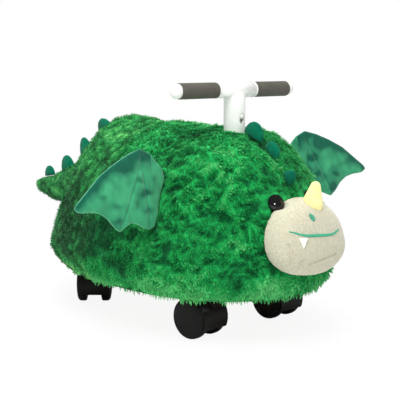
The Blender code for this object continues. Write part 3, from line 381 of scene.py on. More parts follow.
def merged(*names):
    """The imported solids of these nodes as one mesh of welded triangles."""
    work = bmesh.new()
    for name in names:
        work.from_mesh(NODES[name].data)
    bmesh.ops.remove_doubles(work, verts=work.verts[:], dist=MERGE)
    return work


def tree_of(*names):
    """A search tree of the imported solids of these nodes."""
    work = merged(*names)
    tree = BVHTree.FromBMesh(work)
    work.free()
    return tree


def points_of(name):
    """The corners of a node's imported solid."""
    work = merged(name)
    places = np.array([vertex.co for vertex in work.verts])
    work.free()
    return places


def named_from(start):
    """The names of the nodes that begin like this."""
    return [name for name in NODES if name.startswith(start)]


def shown(name, mesh):
    """An object at the origin that shows a mesh."""
    item = bpy.data.objects.new(name, mesh)
    bpy.context.scene.collection.objects.link(item)
    return item


def to_object(name, work, material=None):
    """An object at the origin from a bmesh, shaded smooth."""
    mesh = bpy.data.meshes.new(name)
    work.to_mesh(mesh)
    work.free()
    if material:
        mesh.materials.append(finish(material))
    mesh.shade_smooth()
    return shown(name, mesh)


def baked(item):
    """Works an object's modifiers into its mesh."""
    depsgraph = bpy.context.evaluated_depsgraph_get()
    mesh = bpy.data.meshes.new_from_object(item.evaluated_get(depsgraph))
    item.modifiers.clear()
    old, item.data = item.data, mesh
    bpy.data.meshes.remove(old)


def settle(item, node, stands=True):
    """Makes a finished piece ride on its node's body and, unless it only adds to the node, stand for it."""
    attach(item, NODES[node]["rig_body"])
    if stands:
        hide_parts(node)


def hard_copy(node, material, edge=0.0, crease=32.0):
    """A rigid piece in its true shape, with its round faces smooth and its rims eased."""
    item = to_object(f"{node}_shell", merged(node), material)
    item.data.set_sharp_from_angle(angle=math.radians(crease))
    if edge:
        bevel = item.modifiers.new("eased", "BEVEL")
        bevel.width = edge
        bevel.segments = 2
        bevel.limit_method = "ANGLE"
        bevel.angle_limit = math.radians(crease + 12)
        baked(item)
    settle(item, node)


def softened(node, name, material, voxel, rounds, swell):
    """A soft piece: the solid remeshed finely, then smoothed and swollen back to its size."""
    item = to_object(name, merged(node), material)
    remesh = item.modifiers.new("fine", "REMESH")
    remesh.mode = "VOXEL"
    remesh.voxel_size = voxel
    smooth = item.modifiers.new("smooth", "SMOOTH")
    smooth.iterations = rounds
    baked(item)
    item.data.shade_smooth()

    def outward(place, normal):
        return normal * swell

    push(item, outward)
    return item


def soft_copy(node, name, material, voxel, rounds, swell):
    """A softened piece that needs nothing more."""
    settle(softened(node, name, material, voxel, rounds, swell), node)


def push(item, way):
    """Moves each vertex by way(place, normal)."""
    mesh = item.data
    moves = [way(vertex.co, vertex.normal) for vertex in mesh.vertices]
    for vertex, move in zip(mesh.vertices, moves):
        vertex.co += move
    mesh.update()


def store(mesh, name, kind, values):
    """Writes one value a vertex as a named attribute."""
    attribute = mesh.attributes.new(name, kind, "POINT")
    key = "vector" if kind == "FLOAT_VECTOR" else "value"
    attribute.data.foreach_set(key, np.asarray(values, np.float32).ravel())


def bridged(work, rings):
    """Faces between each ring of corners and the next. A ring of one repeated corner is a point."""
    for lower, upper in zip(rings, rings[1:]):
        for step, corner in enumerate(lower):
            follow = (step + 1) % len(lower)
            corners = dict.fromkeys((corner, lower[follow], upper[follow], upper[step]))
            if len(corners) > 2:
                work.faces.new(tuple(corners))


TURNED_SIDES = 72


def turned(name, profile, place, axis, material, crease):
    """A lathe-turned piece: (radius, height) rings about an axis through a place."""
    turn = axis.to_track_quat("Z", "Y").to_matrix()
    work = bmesh.new()
    rings = []
    for radius, height in profile:
        if radius == 0:
            rings.append([work.verts.new(place + turn @ Vector((0, 0, height)))] * TURNED_SIDES)
            continue
        ring = []
        for angle in angles(TURNED_SIDES):
            spot = Vector((radius * math.cos(angle), radius * math.sin(angle), height))
            ring.append(work.verts.new(place + turn @ spot))
        rings.append(ring)
    bridged(work, rings)
    bmesh.ops.recalc_face_normals(work, faces=work.faces[:])
    item = to_object(name, work, material)
    item.data.set_sharp_from_angle(angle=math.radians(crease))
    return item


TUBE_SIDES = 8
# A way that no stretch of a wing's piping runs
TUBE_UP = Vector((0.12, 0.31, 0.94))


def closed_tube(name, points, radius, material):
    """A round tube along a closed line of points."""
    work = bmesh.new()
    rings = []
    for index, place in enumerate(points):
        ahead = (points[(index + 1) % len(points)] - points[index - 1]).normalized()
        side = ahead.cross(TUBE_UP).normalized()
        over = side.cross(ahead)
        spokes = [side * math.cos(angle) + over * math.sin(angle) for angle in angles(TUBE_SIDES)]
        rings.append([work.verts.new(place + spoke * radius) for spoke in spokes])
    bridged(work, rings + rings[:1])
    bmesh.ops.recalc_face_normals(work, faces=work.faces[:])
    return to_object(name, work, material)


# Pile

LOCK_SIDES = 3
LOCK_STEPS = 3
# A lock of pile: its strands, their thickness, spread, bend and curl, and the seed of its draws
LONG_LOCK = (4, 0.045, 0.12, 0.13, 0.22, 3)
CURL_LOCK = (3, 0.115, 0.20, 0.16, 0.60, 5)
PILE_SIZES = ("Spacing", "Length", "Lean", "Clump", "Gather", "Stray")
# Skin whose pile would be a smaller share of its full length than this stays bare
BARE_UNDER = 0.12


def spoke(angle):
    """A way in the flat, a unit long."""
    return Vector((math.cos(angle), math.sin(angle), 0))


def lock_mesh(strands, thickness, spread, bend, curl, seed):
    """One lock of pile, a unit long along Z: strands that spread at the root and meet at the tip."""
    draw = random.Random(seed)
    work = bmesh.new()
    along = work.verts.layers.float.new("along")
    for turn in angles(strands):
        angle = turn + draw.uniform(-0.4, 0.4)
        root = spoke(angle) * spread * draw.uniform(0.6, 1.1)
        tip = Vector((root.x * 0.45, root.y * 0.45, 0))
        length = draw.uniform(0.75, 1.0)
        rings = []
        for step in range(LOCK_STEPS + 1):
            share = step / LOCK_STEPS
            swing = curl * share * share * math.pi * 0.5
            middle = root.lerp(tip, share)
            middle.z = share * length * math.cos(swing)
            middle.x += bend * math.sin(math.pi * share) + share * length * math.sin(swing)
            width = thickness * (1 - share) ** 0.55 * (0.75 + 0.5 * min(share * 4, 1))
            if share == 1:
                ring = [work.verts.new(middle)] * LOCK_SIDES
            else:
                ring = [work.verts.new(middle + spoke(side + angle) * width) for side in angles(LOCK_SIDES)]
            for vertex in ring:
                vertex[along] = share
            rings.append(ring)
        bridged(work, rings)
        work.faces.new(reversed(rings[0]))
    return to_object("lock", work)


def new_group(name, **kinds):
    """A geometry node group that takes a mesh and these inputs, and what each input gives."""
    tree = bpy.data.node_groups.new(name, "GeometryNodeTree")
    for label, kind in {"Geometry": "Geometry", **kinds}.items():
        tree.interface.new_socket(label, in_out="INPUT", socket_type=f"NodeSocket{kind}")
    tree.interface.new_socket("Geometry", in_out="OUTPUT", socket_type="NodeSocketGeometry")
    board = Board(tree)
    outputs = board.add("NodeGroupInput").outputs
    return board, {socket.name: Field(board, socket) for socket in outputs if socket.name}


def end_group(board, geometry, given):
    """Ends a node group: its copies made real, then its material set."""
    real = board.out("GeometryNodeRealizeInstances", 0, None, {"Geometry": geometry})
    done = board.out("GeometryNodeSetMaterial", 0, None, {"Geometry": real, "Material": given["Material"]})
    board.add("NodeGroupOutput", None, {0: done})
    return board.tree


def pile_tree():
    """Geometry nodes that plant locks over a skin, where and as long as its pile attribute says."""
    sizes = dict.fromkeys(PILE_SIZES, "Float")
    board, given = new_group("pile", **sizes, Seed="Int", Lock="Object", Material="Material")
    pile = board.named("pile")
    inputs = {
        "Mesh": given["Geometry"],
        "Distance Min": given["Spacing"],
        "Density Max": 1.6 / (given["Spacing"] * given["Spacing"]),
        "Density Factor": pile.sum("GREATER_THAN", pile, BARE_UNDER),
        "Seed": given["Seed"],
    }
    method = {"distribute_method": "POISSON"}
    spread = board.add("GeometryNodeDistributePointsOnFaces", method, inputs).outputs
    normal = Field(board, spread["Normal"])
    place = board.out("GeometryNodeInputPosition", 0)
    cell = board.add("ShaderNodeTexVoronoi", None, {"Vector": place, "Scale": 1.0 / given["Clump"]}).outputs
    inward = board.vector("SUBTRACT", Field(board, cell["Position"]), place)
    inward = board.vector("SCALE", inward, given["Gather"] / given["Clump"])
    lean = board.vector("SCALE", normal, given["Lean"])
    corners = {0: (-1, -1, -1), 1: (1, 1, 1)}
    stray = board.out("FunctionNodeRandomValue", 0, {"data_type": "FLOAT_VECTOR"}, corners)
    stray = board.vector("SCALE", stray, given["Stray"])
    ahead = board.vector("ADD", board.named("nap", "FLOAT_VECTOR"), lean)
    way = board.vector("ADD", ahead, board.vector("ADD", inward, stray))
    chance = board.out("FunctionNodeRandomValue", 1, {"data_type": "FLOAT"}, {2: 0.0, 3: 1.0, "Seed": 7})
    cell_tone = board.out("FunctionNodeSeparateColor", 0, None, {0: Field(board, cell["Color"])})
    tint = cell_tone * 0.6 + chance * 0.4
    inputs = {"Geometry": Field(board, spread["Points"]), "Name": "tint", "Value": tint}
    toned = board.out("GeometryNodeStoreNamedAttribute", 0, {"data_type": "FLOAT", "domain": "POINT"}, inputs)
    lock = {"Object": given["Lock"], "As Instance": True}
    inputs = {
        "Points": toned,
        "Instance": board.out("GeometryNodeObjectInfo", "Geometry", None, lock),
        "Rotation": board.turned("Z", "X", way, normal),
        "Scale": given["Length"] * (chance * 0.4 + 0.8) * pile,
    }
    planted = board.out("GeometryNodeInstanceOnPoints", 0, None, inputs)
    joined = board.add("GeometryNodeJoinGeometry")
    board.feed(joined.inputs[0], planted)
    board.feed(joined.inputs[0], given["Geometry"])
    return end_group(board, Field(board, joined.outputs[0]), given)


def satin_tree():
    """Geometry nodes that lay a rounded thread across a line at each of its points."""
    board, given = new_group("satin", Radius="Float", Material="Material")
    radius = given["Radius"]
    bead = board.out("GeometryNodeMeshUVSphere", 0, None, {"Segments": 8, "Rings": 6, "Radius": 1.0})
    ways = board.named("way", "FLOAT_VECTOR"), board.named("face_way", "FLOAT_VECTOR")
    scale = board.out("ShaderNodeCombineXYZ", 0, None, {0: board.named("reach"), 1: radius, 2: radius * 1.4})
    inputs = {
        "Points": board.out("GeometryNodeMeshToPoints", 0, None, {"Mesh": given["Geometry"]}),
        "Instance": bead,
        "Rotation": board.turned("X", "Z", *ways),
        "Scale": scale,
    }
    return end_group(board, board.out("GeometryNodeInstanceOnPoints", 0, None, inputs), given)


TREES = {"pile": pile_tree, "satin": satin_tree}


def run_tree(item, name, inputs):
    """Runs a node group, made on first use, on an object and keeps the plain mesh."""
    tree = bpy.data.node_groups.get(name) or TREES[name]()
    modifier = item.modifiers.new(name, "NODES")
    modifier.node_group = tree
    for socket in tree.interface.items_tree:
        if socket.in_out == "INPUT" and socket.name in inputs:
            modifier[socket.identifier] = inputs[socket.name]
    baked(item)
    item.data.shade_smooth()


def grow_pile(item, lock_shape, material, seed, sizes):
    """Plants a pile over a skin that carries pile and nap attributes."""
    lock = lock_mesh(*lock_shape)
    inputs = dict(zip(PILE_SIZES, sizes))
    inputs.update({"Seed": seed, "Lock": lock, "Material": finish(material)})
    run_tree(item, "pile", inputs)
    bpy.data.objects.remove(lock)


# The covers' skin

# Points round and up the skin, and its rounds of smoothing
DOME_ACROSS = 400
DOME_UP = 120
SMOOTHING = 60
# Rounds that fill a hole, and how near a fitting a point is in its hole
HOLE_ROUNDS = 400
HOLE_EDGE = 0.004
# How far above the solids' foot the skin's lowest ring is found, and how far down it then moves
HEM_LIFT = 0.0006
HEM_DROP = 0.0045
# How far the skin lies inside the solids' outside, and its thickness
SKIN_DROP = 0.0034
SKIN_WALL = 0.003
# Height under which the pile turns paler towards the hem, and how far up from the hem it hangs long
FRINGE_TOP = 0.128
FRINGE_DEPTH = 0.010
# How near the pile comes to a sewn-on piece, and how far off it has its full length
CLEARINGS = (
    (("muzzle", "horn"), 0.0003, 0.0025),
    (("spike_front",), 0.0002, 0.0022),
    (("spike_rear", "spike_tail"), 0.0010, 0.007),
    (("eye_",), 0.0045, 0.022),
    (("wing_",), 0.0015, 0.008),
    (("t_handle",), 0.0035, 0.010),
    (("tail",), 0.0005, 0.004),
)
# A kind of furred skin: which way its pile lies, how much that swirls, the shape and the depth of its
# relief, and how much darker its colour is made, which on the covers is painted shade under the wings
Coat = namedtuple("Coat", "flow swirl relief depth shade")


def dome_rings(nodes, fittings):
    """Rings from the hem to the crown, on the outside of the covers, smoothed over holes."""
    tree = tree_of(*nodes)
    holes = tree_of(*fittings)
    places = np.concatenate([points_of(node) for node in nodes])
    low, high = places.min(0), places.max(0)
    half = (high - low) / 2
    middle = Vector((low[0] + half[0], 0.0, low[2] + HEM_LIFT))
    reach = float(half[0]) * 3
    depth = np.zeros((DOME_UP + 1, DOME_ACROSS))
    holed = np.zeros(depth.shape, bool)
    ways = []
    for ring in range(DOME_UP + 1):
        rise = math.pi / 2 * ring / DOME_UP
        flat, up = math.cos(rise), half[2] * 2 * math.sin(rise)
        row = []
        for step, turn in enumerate(angles(DOME_ACROSS)):
            way = Vector((half[0] * flat * math.cos(turn), half[1] * flat * math.sin(turn), up)).normalized()
            hit = tree.ray_cast(middle + way * reach, -way)[0]
            depth[ring, step] = (hit - middle).length if hit else 0
            holed[ring, step] = not hit or holes.find_nearest(hit)[3] < HOLE_EDGE
            row.append(way)
        ways.append(row)
    for _ in range(HOLE_ROUNDS):
        beside = np.stack([np.roll(depth, 1, 1), np.roll(depth, -1, 1)]).sum(0)
        above = np.vstack([depth[1:], depth[-1:]])
        below = np.vstack([depth[:1], depth[:-1]])
        depth = np.where(holed, (beside + above + below) / 4, depth)
    smooth = evened(depth)
    depth = smooth + evened(depth - smooth)
    rings = [[list(middle + way * value) for way, value in zip(*pair)] for pair in zip(ways, depth)]
    rings = np.array(rings)
    rings[0, :, 2] -= HEM_DROP
    return rings


def evened(depth):
    """A grid of values with its small steps smoothed out, its lowest row kept."""
    edge = depth[0].copy()
    for _ in range(SMOOTHING):
        depth = depth / 2 + (np.roll(depth, 1, 1) + np.roll(depth, -1, 1)) / 4
        depth[1:-1] = depth[1:-1] / 2 + (depth[2:] + depth[:-2]) / 4
        depth[-1] = depth[-2].mean()
        depth[0] = edge
    return depth


def grid_normals(rings):
    """Outward normals of a closed grid of rings."""
    across = np.roll(rings, -1, 1) - np.roll(rings, 1, 1)
    up = np.gradient(rings, axis=0)
    normals = np.cross(across, up)
    normals[-1] = (0, 0, 1)
    lengths = np.linalg.norm(normals, axis=2, keepdims=True)
    return normals / np.maximum(lengths, 1e-12)


def ridges(place):
    """Soft folds in long pile, drawn out the way that it lies: 0 in a crease to 1 on a crest."""
    warped = place + noise.noise_vector(place * 30.0) * 0.012
    spot = Vector((warped.x * 0.65, warped.y * 0.85, warped.z))
    broad = 1 - abs(noise.noise(spot * 58.0)) * 2.2
    fine = 1 - abs(noise.noise(spot * 125.0 + Vector((7, 1, 4)))) * 2.0
    swell = noise.noise(place * 17.0 + Vector((2, 9, 5)))
    return held(0.06 + 0.36 * broad + 0.36 * fine + 0.36 * swell)


def nubs(place):
    """Rounded tufts in curly pile: 0 in the gaps between them to 1 on their tops."""
    warped = place + noise.noise_vector(place * 45.0) * 0.006 + noise.noise_vector(place * 120.0) * 0.0022
    near = noise.voronoi(warped * 60.0)[0][0]
    small = noise.voronoi(warped * 118.0 + Vector((3, 8, 1)))[0][0]
    tuft = max(0.0, 1 - (near / 0.78) ** 2)
    curl = max(0.0, 1 - (small / 0.80) ** 2)
    swell = noise.noise(place * 20.0)
    return held(0.05 + 0.62 * tuft + 0.24 * curl + 0.24 * swell)


def blended(seam):
    """Relief of the front cover: tufted by the seam, turning into folds further forward."""

    def relief(place):
        share = held((place.x - seam - 0.030 + 0.03 * noise.noise(place * 28.0)) / 0.05)
        return ridges(place) * share + nubs(place) * (1 - share)

    return relief


def between(value, low, high):
    """A smooth rise from 0 to 1 as a value goes from low to high."""
    share = held((value - low) / (high - low))
    return share * share * (3 - 2 * share)


def painted_shade_under_wings(seam):
    """How much painted shade darkens the pile on the lower rump and under the wings."""

    def shade(place):
        low = 1 - between(place.z, 0.19, 0.29)
        back = 1 - between(place.x, seam + 0.04, seam + 0.13)
        return low * back * 0.40 * between(place.x, seam - 0.22, seam - 0.08)

    return shade


def tail_shade(place):
    """The tail's pile is a little darker all over."""
    return 0.08


def hemward(place):
    """0 on the flank, rising to 1 at the hem."""
    return held((0.155 - place.z) / 0.055)


def sideward(place):
    """-1 on the right and 1 on the left, with a quick turn between them on the crown."""
    return math.copysign(min(abs(place.y) * 8, 1.0), place.y)


def front_flow(place):
    """The long pile lies forwards along the flanks, out to the sides on the crown, and down at the hem."""
    low = hemward(place)
    return (1.0 - 0.85 * low, 0.35 * sideward(place) * (1 - low), -0.40 - 0.9 * low)


def rear_flow(place):
    """The curls lie down and a little back."""
    low = hemward(place)
    return (-0.25, 0.1 * sideward(place) * (1 - low), -0.45 - 0.9 * low)


def tail_flow(place):
    """The tail's curls lie towards its tip."""
    return (-0.7, 0, -0.2)


def combed(place, normal, coat):
    """The way that the pile lies at a place, a unit long along the skin."""
    way = Vector(coat.flow(place)).normalized()
    way += noise.noise_vector(place * 24.0) * coat.swirl
    way += noise.noise_vector(place * 66.0 + Vector((3, 5, 7))) * coat.swirl * 0.7
    way -= normal * way.dot(normal)
    return way.normalized()


def clearance(trees, place):
    """How much of its length the pile keeps here, from 0 on a sewn-on piece to 1 away from it."""
    least = 1.0
    for tree, near, full in trees:
        spot, normal, _, away = tree.find_nearest(place, full + 0.03)
        if spot is None:
            continue
        inside = (place - spot).dot(normal) < 0
        least = min(least, 0.0 if inside else max(0.0, (away - near) / (full - near)))
    return least


def dressed_skin(places, normals, coat, trees):
    """Moves skin points out by their relief; gives the points, crests, ways and lengths of the pile."""
    crests, ways, lengths, shaded = [], [], [], []
    for spot, out in zip(places, normals):
        place, normal = Vector(spot), Vector(out)
        crest = coat.relief(place)
        full = (0.86 + 0.28 * noise.noise(place * 33.0)) * (0.62 + 0.38 * crest)
        crests.append(crest)
        ways.append(tuple(combed(place, normal, coat)))
        lengths.append(clearance(trees, place) * full)
        shaded.append(coat.shade(place))
    crests = np.array(crests)
    moved = places + normals * (crests - 0.5)[:, None] * coat.depth
    hem = float(points_of("front_fur_cover")[:, 2].min())
    fringe = np.clip((FRINGE_TOP - places[:, 2]) / (FRINGE_TOP - hem), 0, 1)
    edge = np.clip((hem + FRINGE_DEPTH - places[:, 2]) / FRINGE_DEPTH, 0, 1)
    # The crests also set the colour: paler at the hem, and darker by the coat's shade, painted shade on the
    # covers
    crests = crests * (1 - fringe * 0.4) + fringe * 0.60 - np.array(shaded) * (1 - fringe)
    return moved, crests, np.array(ways) * (1 + edge * 0.9)[:, None], np.array(lengths) * (1 - edge * 0.1)


def panel(name, outside, normals, values, chosen, material):
    """A sewn panel of the cover: the chosen quads of a grid of rings, with a backing behind them."""
    rows, across = outside.shape[:2]
    low, step = np.nonzero(chosen)
    follow = (step + 1) % across
    index = np.arange(rows * across).reshape(rows, across)
    index[-1] = index[-1, 0]
    quads = np.stack([index[low, step], index[low, follow], index[low + 1, follow], index[low + 1, step]], 1)
    used, compact = np.unique(quads, return_inverse=True)
    count = len(used)
    front = [tuple(dict.fromkeys(quad)) for quad in compact.reshape(quads.shape).tolist()]
    back = [tuple(corner + count for corner in reversed(face)) for face in front]
    edges = set()
    for face in front:
        edges.update(zip(face, face[1:] + face[:1]))
    rim = [(v, u, u + count, v + count) for u, v in edges if (v, u) not in edges]
    flat = outside.reshape(-1, 3)[used]
    outward = normals.reshape(-1, 3)[used]
    mesh = bpy.data.meshes.new(name)
    mesh.from_pydata(np.concatenate([flat, flat - outward * SKIN_WALL]).tolist(), [], front + back + rim)
    mesh.update()
    mesh.materials.append(finish(material))
    mesh.shade_smooth()
    nap_on(mesh, *(value[used] for value in values), outward)
    return shown(name, mesh)


def nap_on(mesh, crests, ways, lengths, normals):
    """Writes the pile's attributes on a skin; points past the ones given are its bare backing."""
    count = len(mesh.vertices)
    spare = count - len(crests)
    store(mesh, "nap", "FLOAT_VECTOR", np.concatenate([ways, np.zeros((spare, 3))]))
    store(mesh, "pile", "FLOAT", np.concatenate([lengths, np.zeros(spare)]))
    store(mesh, "crest", "FLOAT", np.concatenate([crests, np.zeros(spare)]))
    store(mesh, "along", "FLOAT", np.full(count, 0.3))
    store(mesh, "tint", "FLOAT", np.full(count, 0.5))
    upward = np.tile((0.0, 0.0, 1.0), (spare, 1))
    store(mesh, "skin_normal", "FLOAT_VECTOR", np.concatenate([normals, upward]))


# Settings

def tone(name, description, *colour):
    """A colour that can be set, from three values of 0 to 255."""
    settings = {"subtype": "COLOR", "size": 3, "min": 0, "max": 1, "default": linear(*colour)}
    return FloatVectorProperty(name=name, description=description, **settings)


def dial(name, description, default, **settings):
    """A number that can be set."""
    return FloatProperty(name=name, description=description, default=default, **settings)


def size(name, description, default):
    """A small length that can be set."""
    return dial(name, description, default, min=0.0005, max=0.05, unit="LENGTH")


class Looks(bpy.types.PropertyGroup):
    """Colours of the cloth."""

    # The root colours are painted shade: the dark deep in the pile and in its creases
    fur_shaded_root: tone("Fur Root", "Long pile at its roots", 0, 82, 40)
    fur_middle: tone("Fur Middle", "Long pile halfway up", 24, 164, 78)
    fur_tip: tone("Fur Tip", "Long pile at its tips", 108, 222, 130)
    curl_shaded_root: tone("Curl Root", "Curly pile at its roots", 0, 72, 30)
    curl_middle: tone("Curl Middle", "Curly pile halfway up", 38, 146, 70)
    curl_tip: tone("Curl Tip", "Curly pile at its tips", 112, 208, 114)
    wing_light: tone("Wing Light", "Wing nap lying flat", 62, 168, 118)
    wing_dark: tone("Wing Dark", "Wing nap stroked upright", 0, 90, 68)


class Pile(bpy.types.PropertyGroup):
    """Sizes of the pile."""

    long_pile: size("Long Pile", "Length of a lock on the front cover", 0.0125)
    long_spacing: size("Long Spacing", "Least distance between locks on the front cover", 0.0033)
    long_clump: size("Long Clump", "Width of a clump on the front cover", 0.018)
    curly_pile: size("Curly Pile", "Length of a curl on the rear cover", 0.0052)
    curly_spacing: size("Curly Spacing", "Least distance between curls on the rear cover", 0.0033)
    curly_clump: size("Curly Clump", "Width of a clump on the rear cover", 0.009)


class Stage(bpy.types.PropertyGroup):
    """The camera and the lamps."""

    azimuth: dial("Azimuth", "Camera's turn round the object", math.radians(47.37), subtype="ANGLE")
    elevation: dial("Elevation", "Camera's height over the horizon", math.radians(8.28), subtype="ANGLE")
    distance: dial("Distance", "Camera to its target", 1.740, unit="LENGTH")
    lens: dial("Lens", "Focal length in millimetres", 85.63)
    key_light: dial("Key Light", "Power of the main lamp in watts", 44.0)
    room_light: dial("Room Light", "Strength of the light from all round", 0.66)


# The work, one operator for each part of it

CAMERA_TARGET = Vector((0.1009, 0.0169, 0.2072))
LAMP_TARGET = Vector((0.1, 0, 0.2))
SENSOR = 36
FLOOR = 30
# The strength of the room's light in glossy reflections
ROOM_SHINE = 0.3
# The small lamp that puts the bright spot in the eyes: its distance, width and power
SPARK = (1.9, 0.3, 15.0)


class PLUSH_OT_stage(bpy.types.Operator):
    """Sets the floor, the lamps and the camera"""

    bl_idname = "plush.stage"
    bl_label = "Stage"

    def execute(self, context):
        scene = context.scene
        setup = scene.plush_stage
        turn, rise = setup.azimuth, setup.elevation
        back = Vector((math.sin(turn) * math.cos(rise), -math.cos(turn) * math.cos(rise), math.sin(rise)))
        lens = bpy.data.cameras.new("camera")
        lens.lens = setup.lens
        lens.sensor_width = SENSOR
        scene.camera = self.aimed("camera", lens, CAMERA_TARGET + back * setup.distance, -back)
        scene.view_settings.view_transform = "Standard"
        self.floor()
        self.room(scene, setup.room_light)
        self.lamp("key", (0.9, -1.0, 2.2), 1.1, setup.key_light)
        self.lamp("top", (-0.5, 0.3, 2.4), 1.5, setup.key_light * 0.7)
        away, width, power = SPARK
        spark = self.lamp("spark", self.mirrored(scene.camera.location, away), width, power)
        spark.visible_diffuse = False
        spark.visible_glossy = True
        return {"FINISHED"}

    def aimed(self, name, data, place, way):
        """A camera or a lamp at a place, looking a way."""
        item = shown(name, data)
        item.location = place
        item.rotation_mode = "QUATERNION"
        item.rotation_quaternion = way.to_track_quat("-Z", "Y")
        return item

    def lamp(self, name, place, width, power):
        """A square lamp that lights the object and doesn't show as a reflection in it."""
        light = bpy.data.lights.new(name, "AREA")
        light.size = width
        light.energy = power
        item = self.aimed(name, light, place, LAMP_TARGET - Vector(place))
        item.visible_glossy = False
        return item

    def mirrored(self, viewer, away):
        """Where a lamp shines back to the viewer from the near eye's dome."""
        middle, axis, _ = eye_axis("eye_right")
        seen = (viewer - middle).normalized()
        out = (axis * 0.4 + seen * 0.6).normalized()
        return middle + (out * 2 * out.dot(seen) - seen) * away

    def floor(self):
        """A pale floor that is white to the camera apart from the object's shadow."""
        work = bmesh.new()
        bmesh.ops.create_grid(work, x_segments=1, y_segments=1, size=FLOOR)
        floor = to_object("floor", work)
        ground = Shader("ground", 0.9, Specular_IOR_Level=0.1)
        ground.give("Base Color", (0.86, 0.86, 0.86, 1))
        away = ground.out("ShaderNodeVectorMath", "Value", {"operation": "LENGTH"}, {0: ground.place})
        share = ground.step(away, 0.25, 0.7) * 0.09 + 0.91
        white = ground.out("ShaderNodeEmission", 0, None, {"Color": (1, 1, 1, 1), "Strength": 1.0})
        inputs = {0: ground.seen() * share, 1: ground.surface, 2: white}
        ground.feed(ground.end, ground.out("ShaderNodeMixShader", 0, None, inputs))
        floor.data.materials.append(ground.material)

    def room(self, scene, light):
        """Even light from all round, white to the camera and dim in reflections."""
        scene.world = bpy.data.worlds.new("room")
        scene.world.use_nodes = True
        board = Board(scene.world.node_tree)
        strength = board.seen() * (1 - light) + light - board.ray("Glossy") * (light - ROOM_SHINE)
        sky = board.out("ShaderNodeBackground", 0, None, {"Color": (1, 1, 1, 1), "Strength": strength})
        board.add("ShaderNodeOutputWorld", None, {0: sky})


class PLUSH_OT_covers(bpy.types.Operator):
    """Makes the sewn panels of the two covers and their pile"""

    bl_idname = "plush.covers"
    bl_label = "Fur Covers"

    def execute(self, context):
        sizes = context.scene.plush_pile
        rings = dome_rings(("front_fur_cover", "rear_fur_cover"), ("t_handle", "eye_left", "eye_right"))
        normals = grid_normals(rings)
        skin = (rings, normals, (rings - normals * SKIN_DROP).reshape(-1, 3))
        trees = [(tree_of(*named_from(starts)), near, full) for starts, near, full in CLEARINGS]
        front, rear = points_of("front_fur_cover")[:, 0], points_of("rear_fur_cover")[:, 0]
        seam, nose, tail = float(rear.max()), float(front.max()), float(rear.min())
        # Painted shade on the lower rump and under the wings, on both covers
        shade = painted_shade_under_wings(seam)
        coat = Coat(front_flow, 0.75, blended(seam), 0.0060, shade)
        lengths = (sizes.long_spacing, sizes.long_pile, 0.42, sizes.long_clump, 0.9, 0.13)
        cuts = (seam, seam + (nose - seam) * 0.36, seam + (nose - seam) * 0.68, nose + 1)
        near = skin[2][:, 0] > seam - 0.02
        self.cover("front", skin, near, coat, trees, cuts, LONG_LOCK, lengths)
        coat = Coat(rear_flow, 0.9, nubs, 0.0090, shade)
        lengths = (sizes.curly_spacing, sizes.curly_pile, 1.1, sizes.curly_clump, 0.8, 0.5)
        cuts = (tail - 1, tail + (seam - tail) * 0.45, seam)
        near = skin[2][:, 0] < seam + 0.02
        self.cover("rear", skin, near, coat, trees, cuts, CURL_LOCK, lengths)
        return {"FINISHED"}

    def cover(self, place, skin, near, coat, trees, cuts, lock_shape, lengths):
        """One cover, as panels between cuts along the body and on each side of it."""
        rings, normals, base = skin
        corners = (rings[:-1], rings[1:], np.roll(rings[:-1], -1, 1), np.roll(rings[1:], -1, 1))
        x, y = np.moveaxis((corners[0] + corners[1] + corners[2] + corners[3]) / 4, 2, 0)[:2]
        outside = base.copy()
        values = np.zeros(len(base)), np.zeros((len(base), 3)), np.zeros(len(base))
        moved, *dressed = dressed_skin(base[near], normals.reshape(-1, 3)[near], coat, trees)
        outside[near] = moved
        for whole, part in zip(values, dressed):
            whole[near] = part
        outside = outside.reshape(rings.shape)
        for part, (first, last) in enumerate(zip(cuts, cuts[1:])):
            for side, facing in SIDES.items():
                within = (x > first) & (x <= last) & (y * facing > 0)
                name = f"{place}_cover_{side}_{part + 1}"
                item = panel(name, outside, normals, values, within, f"fur_{place}")
                grow_pile(item, lock_shape, f"fur_{place}", 11 + facing + part * 5, lengths)
                settle(item, f"{place}_fur_cover")


class PLUSH_OT_tail(bpy.types.Operator):
    """Makes the stuffed tail with its curly pile"""

    bl_idname = "plush.tail"
    bl_label = "Tail"

    def execute(self, context):
        sizes = context.scene.plush_pile
        item = softened("tail", "tail_cover", "fur_rear", 0.0035, 8, -0.0025)
        mesh = item.data
        places = np.array([vertex.co for vertex in mesh.vertices])
        normals = np.array([vertex.normal for vertex in mesh.vertices])
        coat = Coat(tail_flow, 0.9, nubs, 0.0045, tail_shade)
        fins = (tree_of(*named_from("spike_tail")), 0.001, 0.006)
        moved, *dressed = dressed_skin(places, normals, coat, [fins])
        mesh.vertices.foreach_set("co", moved.astype(np.float32).ravel())
        nap_on(mesh, *dressed, normals)
        lengths = (sizes.curly_spacing, sizes.curly_pile, 0.85, sizes.curly_clump, 0.9, 0.5)
        grow_pile(item, CURL_LOCK, "fur_rear", 21, lengths)
        settle(item, "tail")
        return {"FINISHED"}


class PLUSH_OT_inside(bpy.types.Operator):
    """Makes the foam, the board, its binding and the bolted post"""

    bl_idname = "plush.inside"
    bl_label = "Foam and Board"

    def execute(self, context):
        soft_copy("foam_body", "foam_core", "foam", 0.008, 4, -0.004)
        hard_copy("base_board", "plywood")
        hard_copy("hem_binding", "tape_green")
        for node in ("post_bolt", "core_post", "button_spring"):
            hard_copy(node, "steel")
        return {"FINISHED"}


# Soft creases in the muzzle's cloth: each end's place from side to side and height, depth and width
CREASES = (
    ((-0.067, 0.176), (-0.063, 0.147), 0.0026, 0.0032),
    ((-0.034, 0.1435), (0.028, 0.1525), 0.0022, 0.0034),
    ((-0.052, 0.139), (-0.046, 0.151), 0.0018, 0.0032),
)
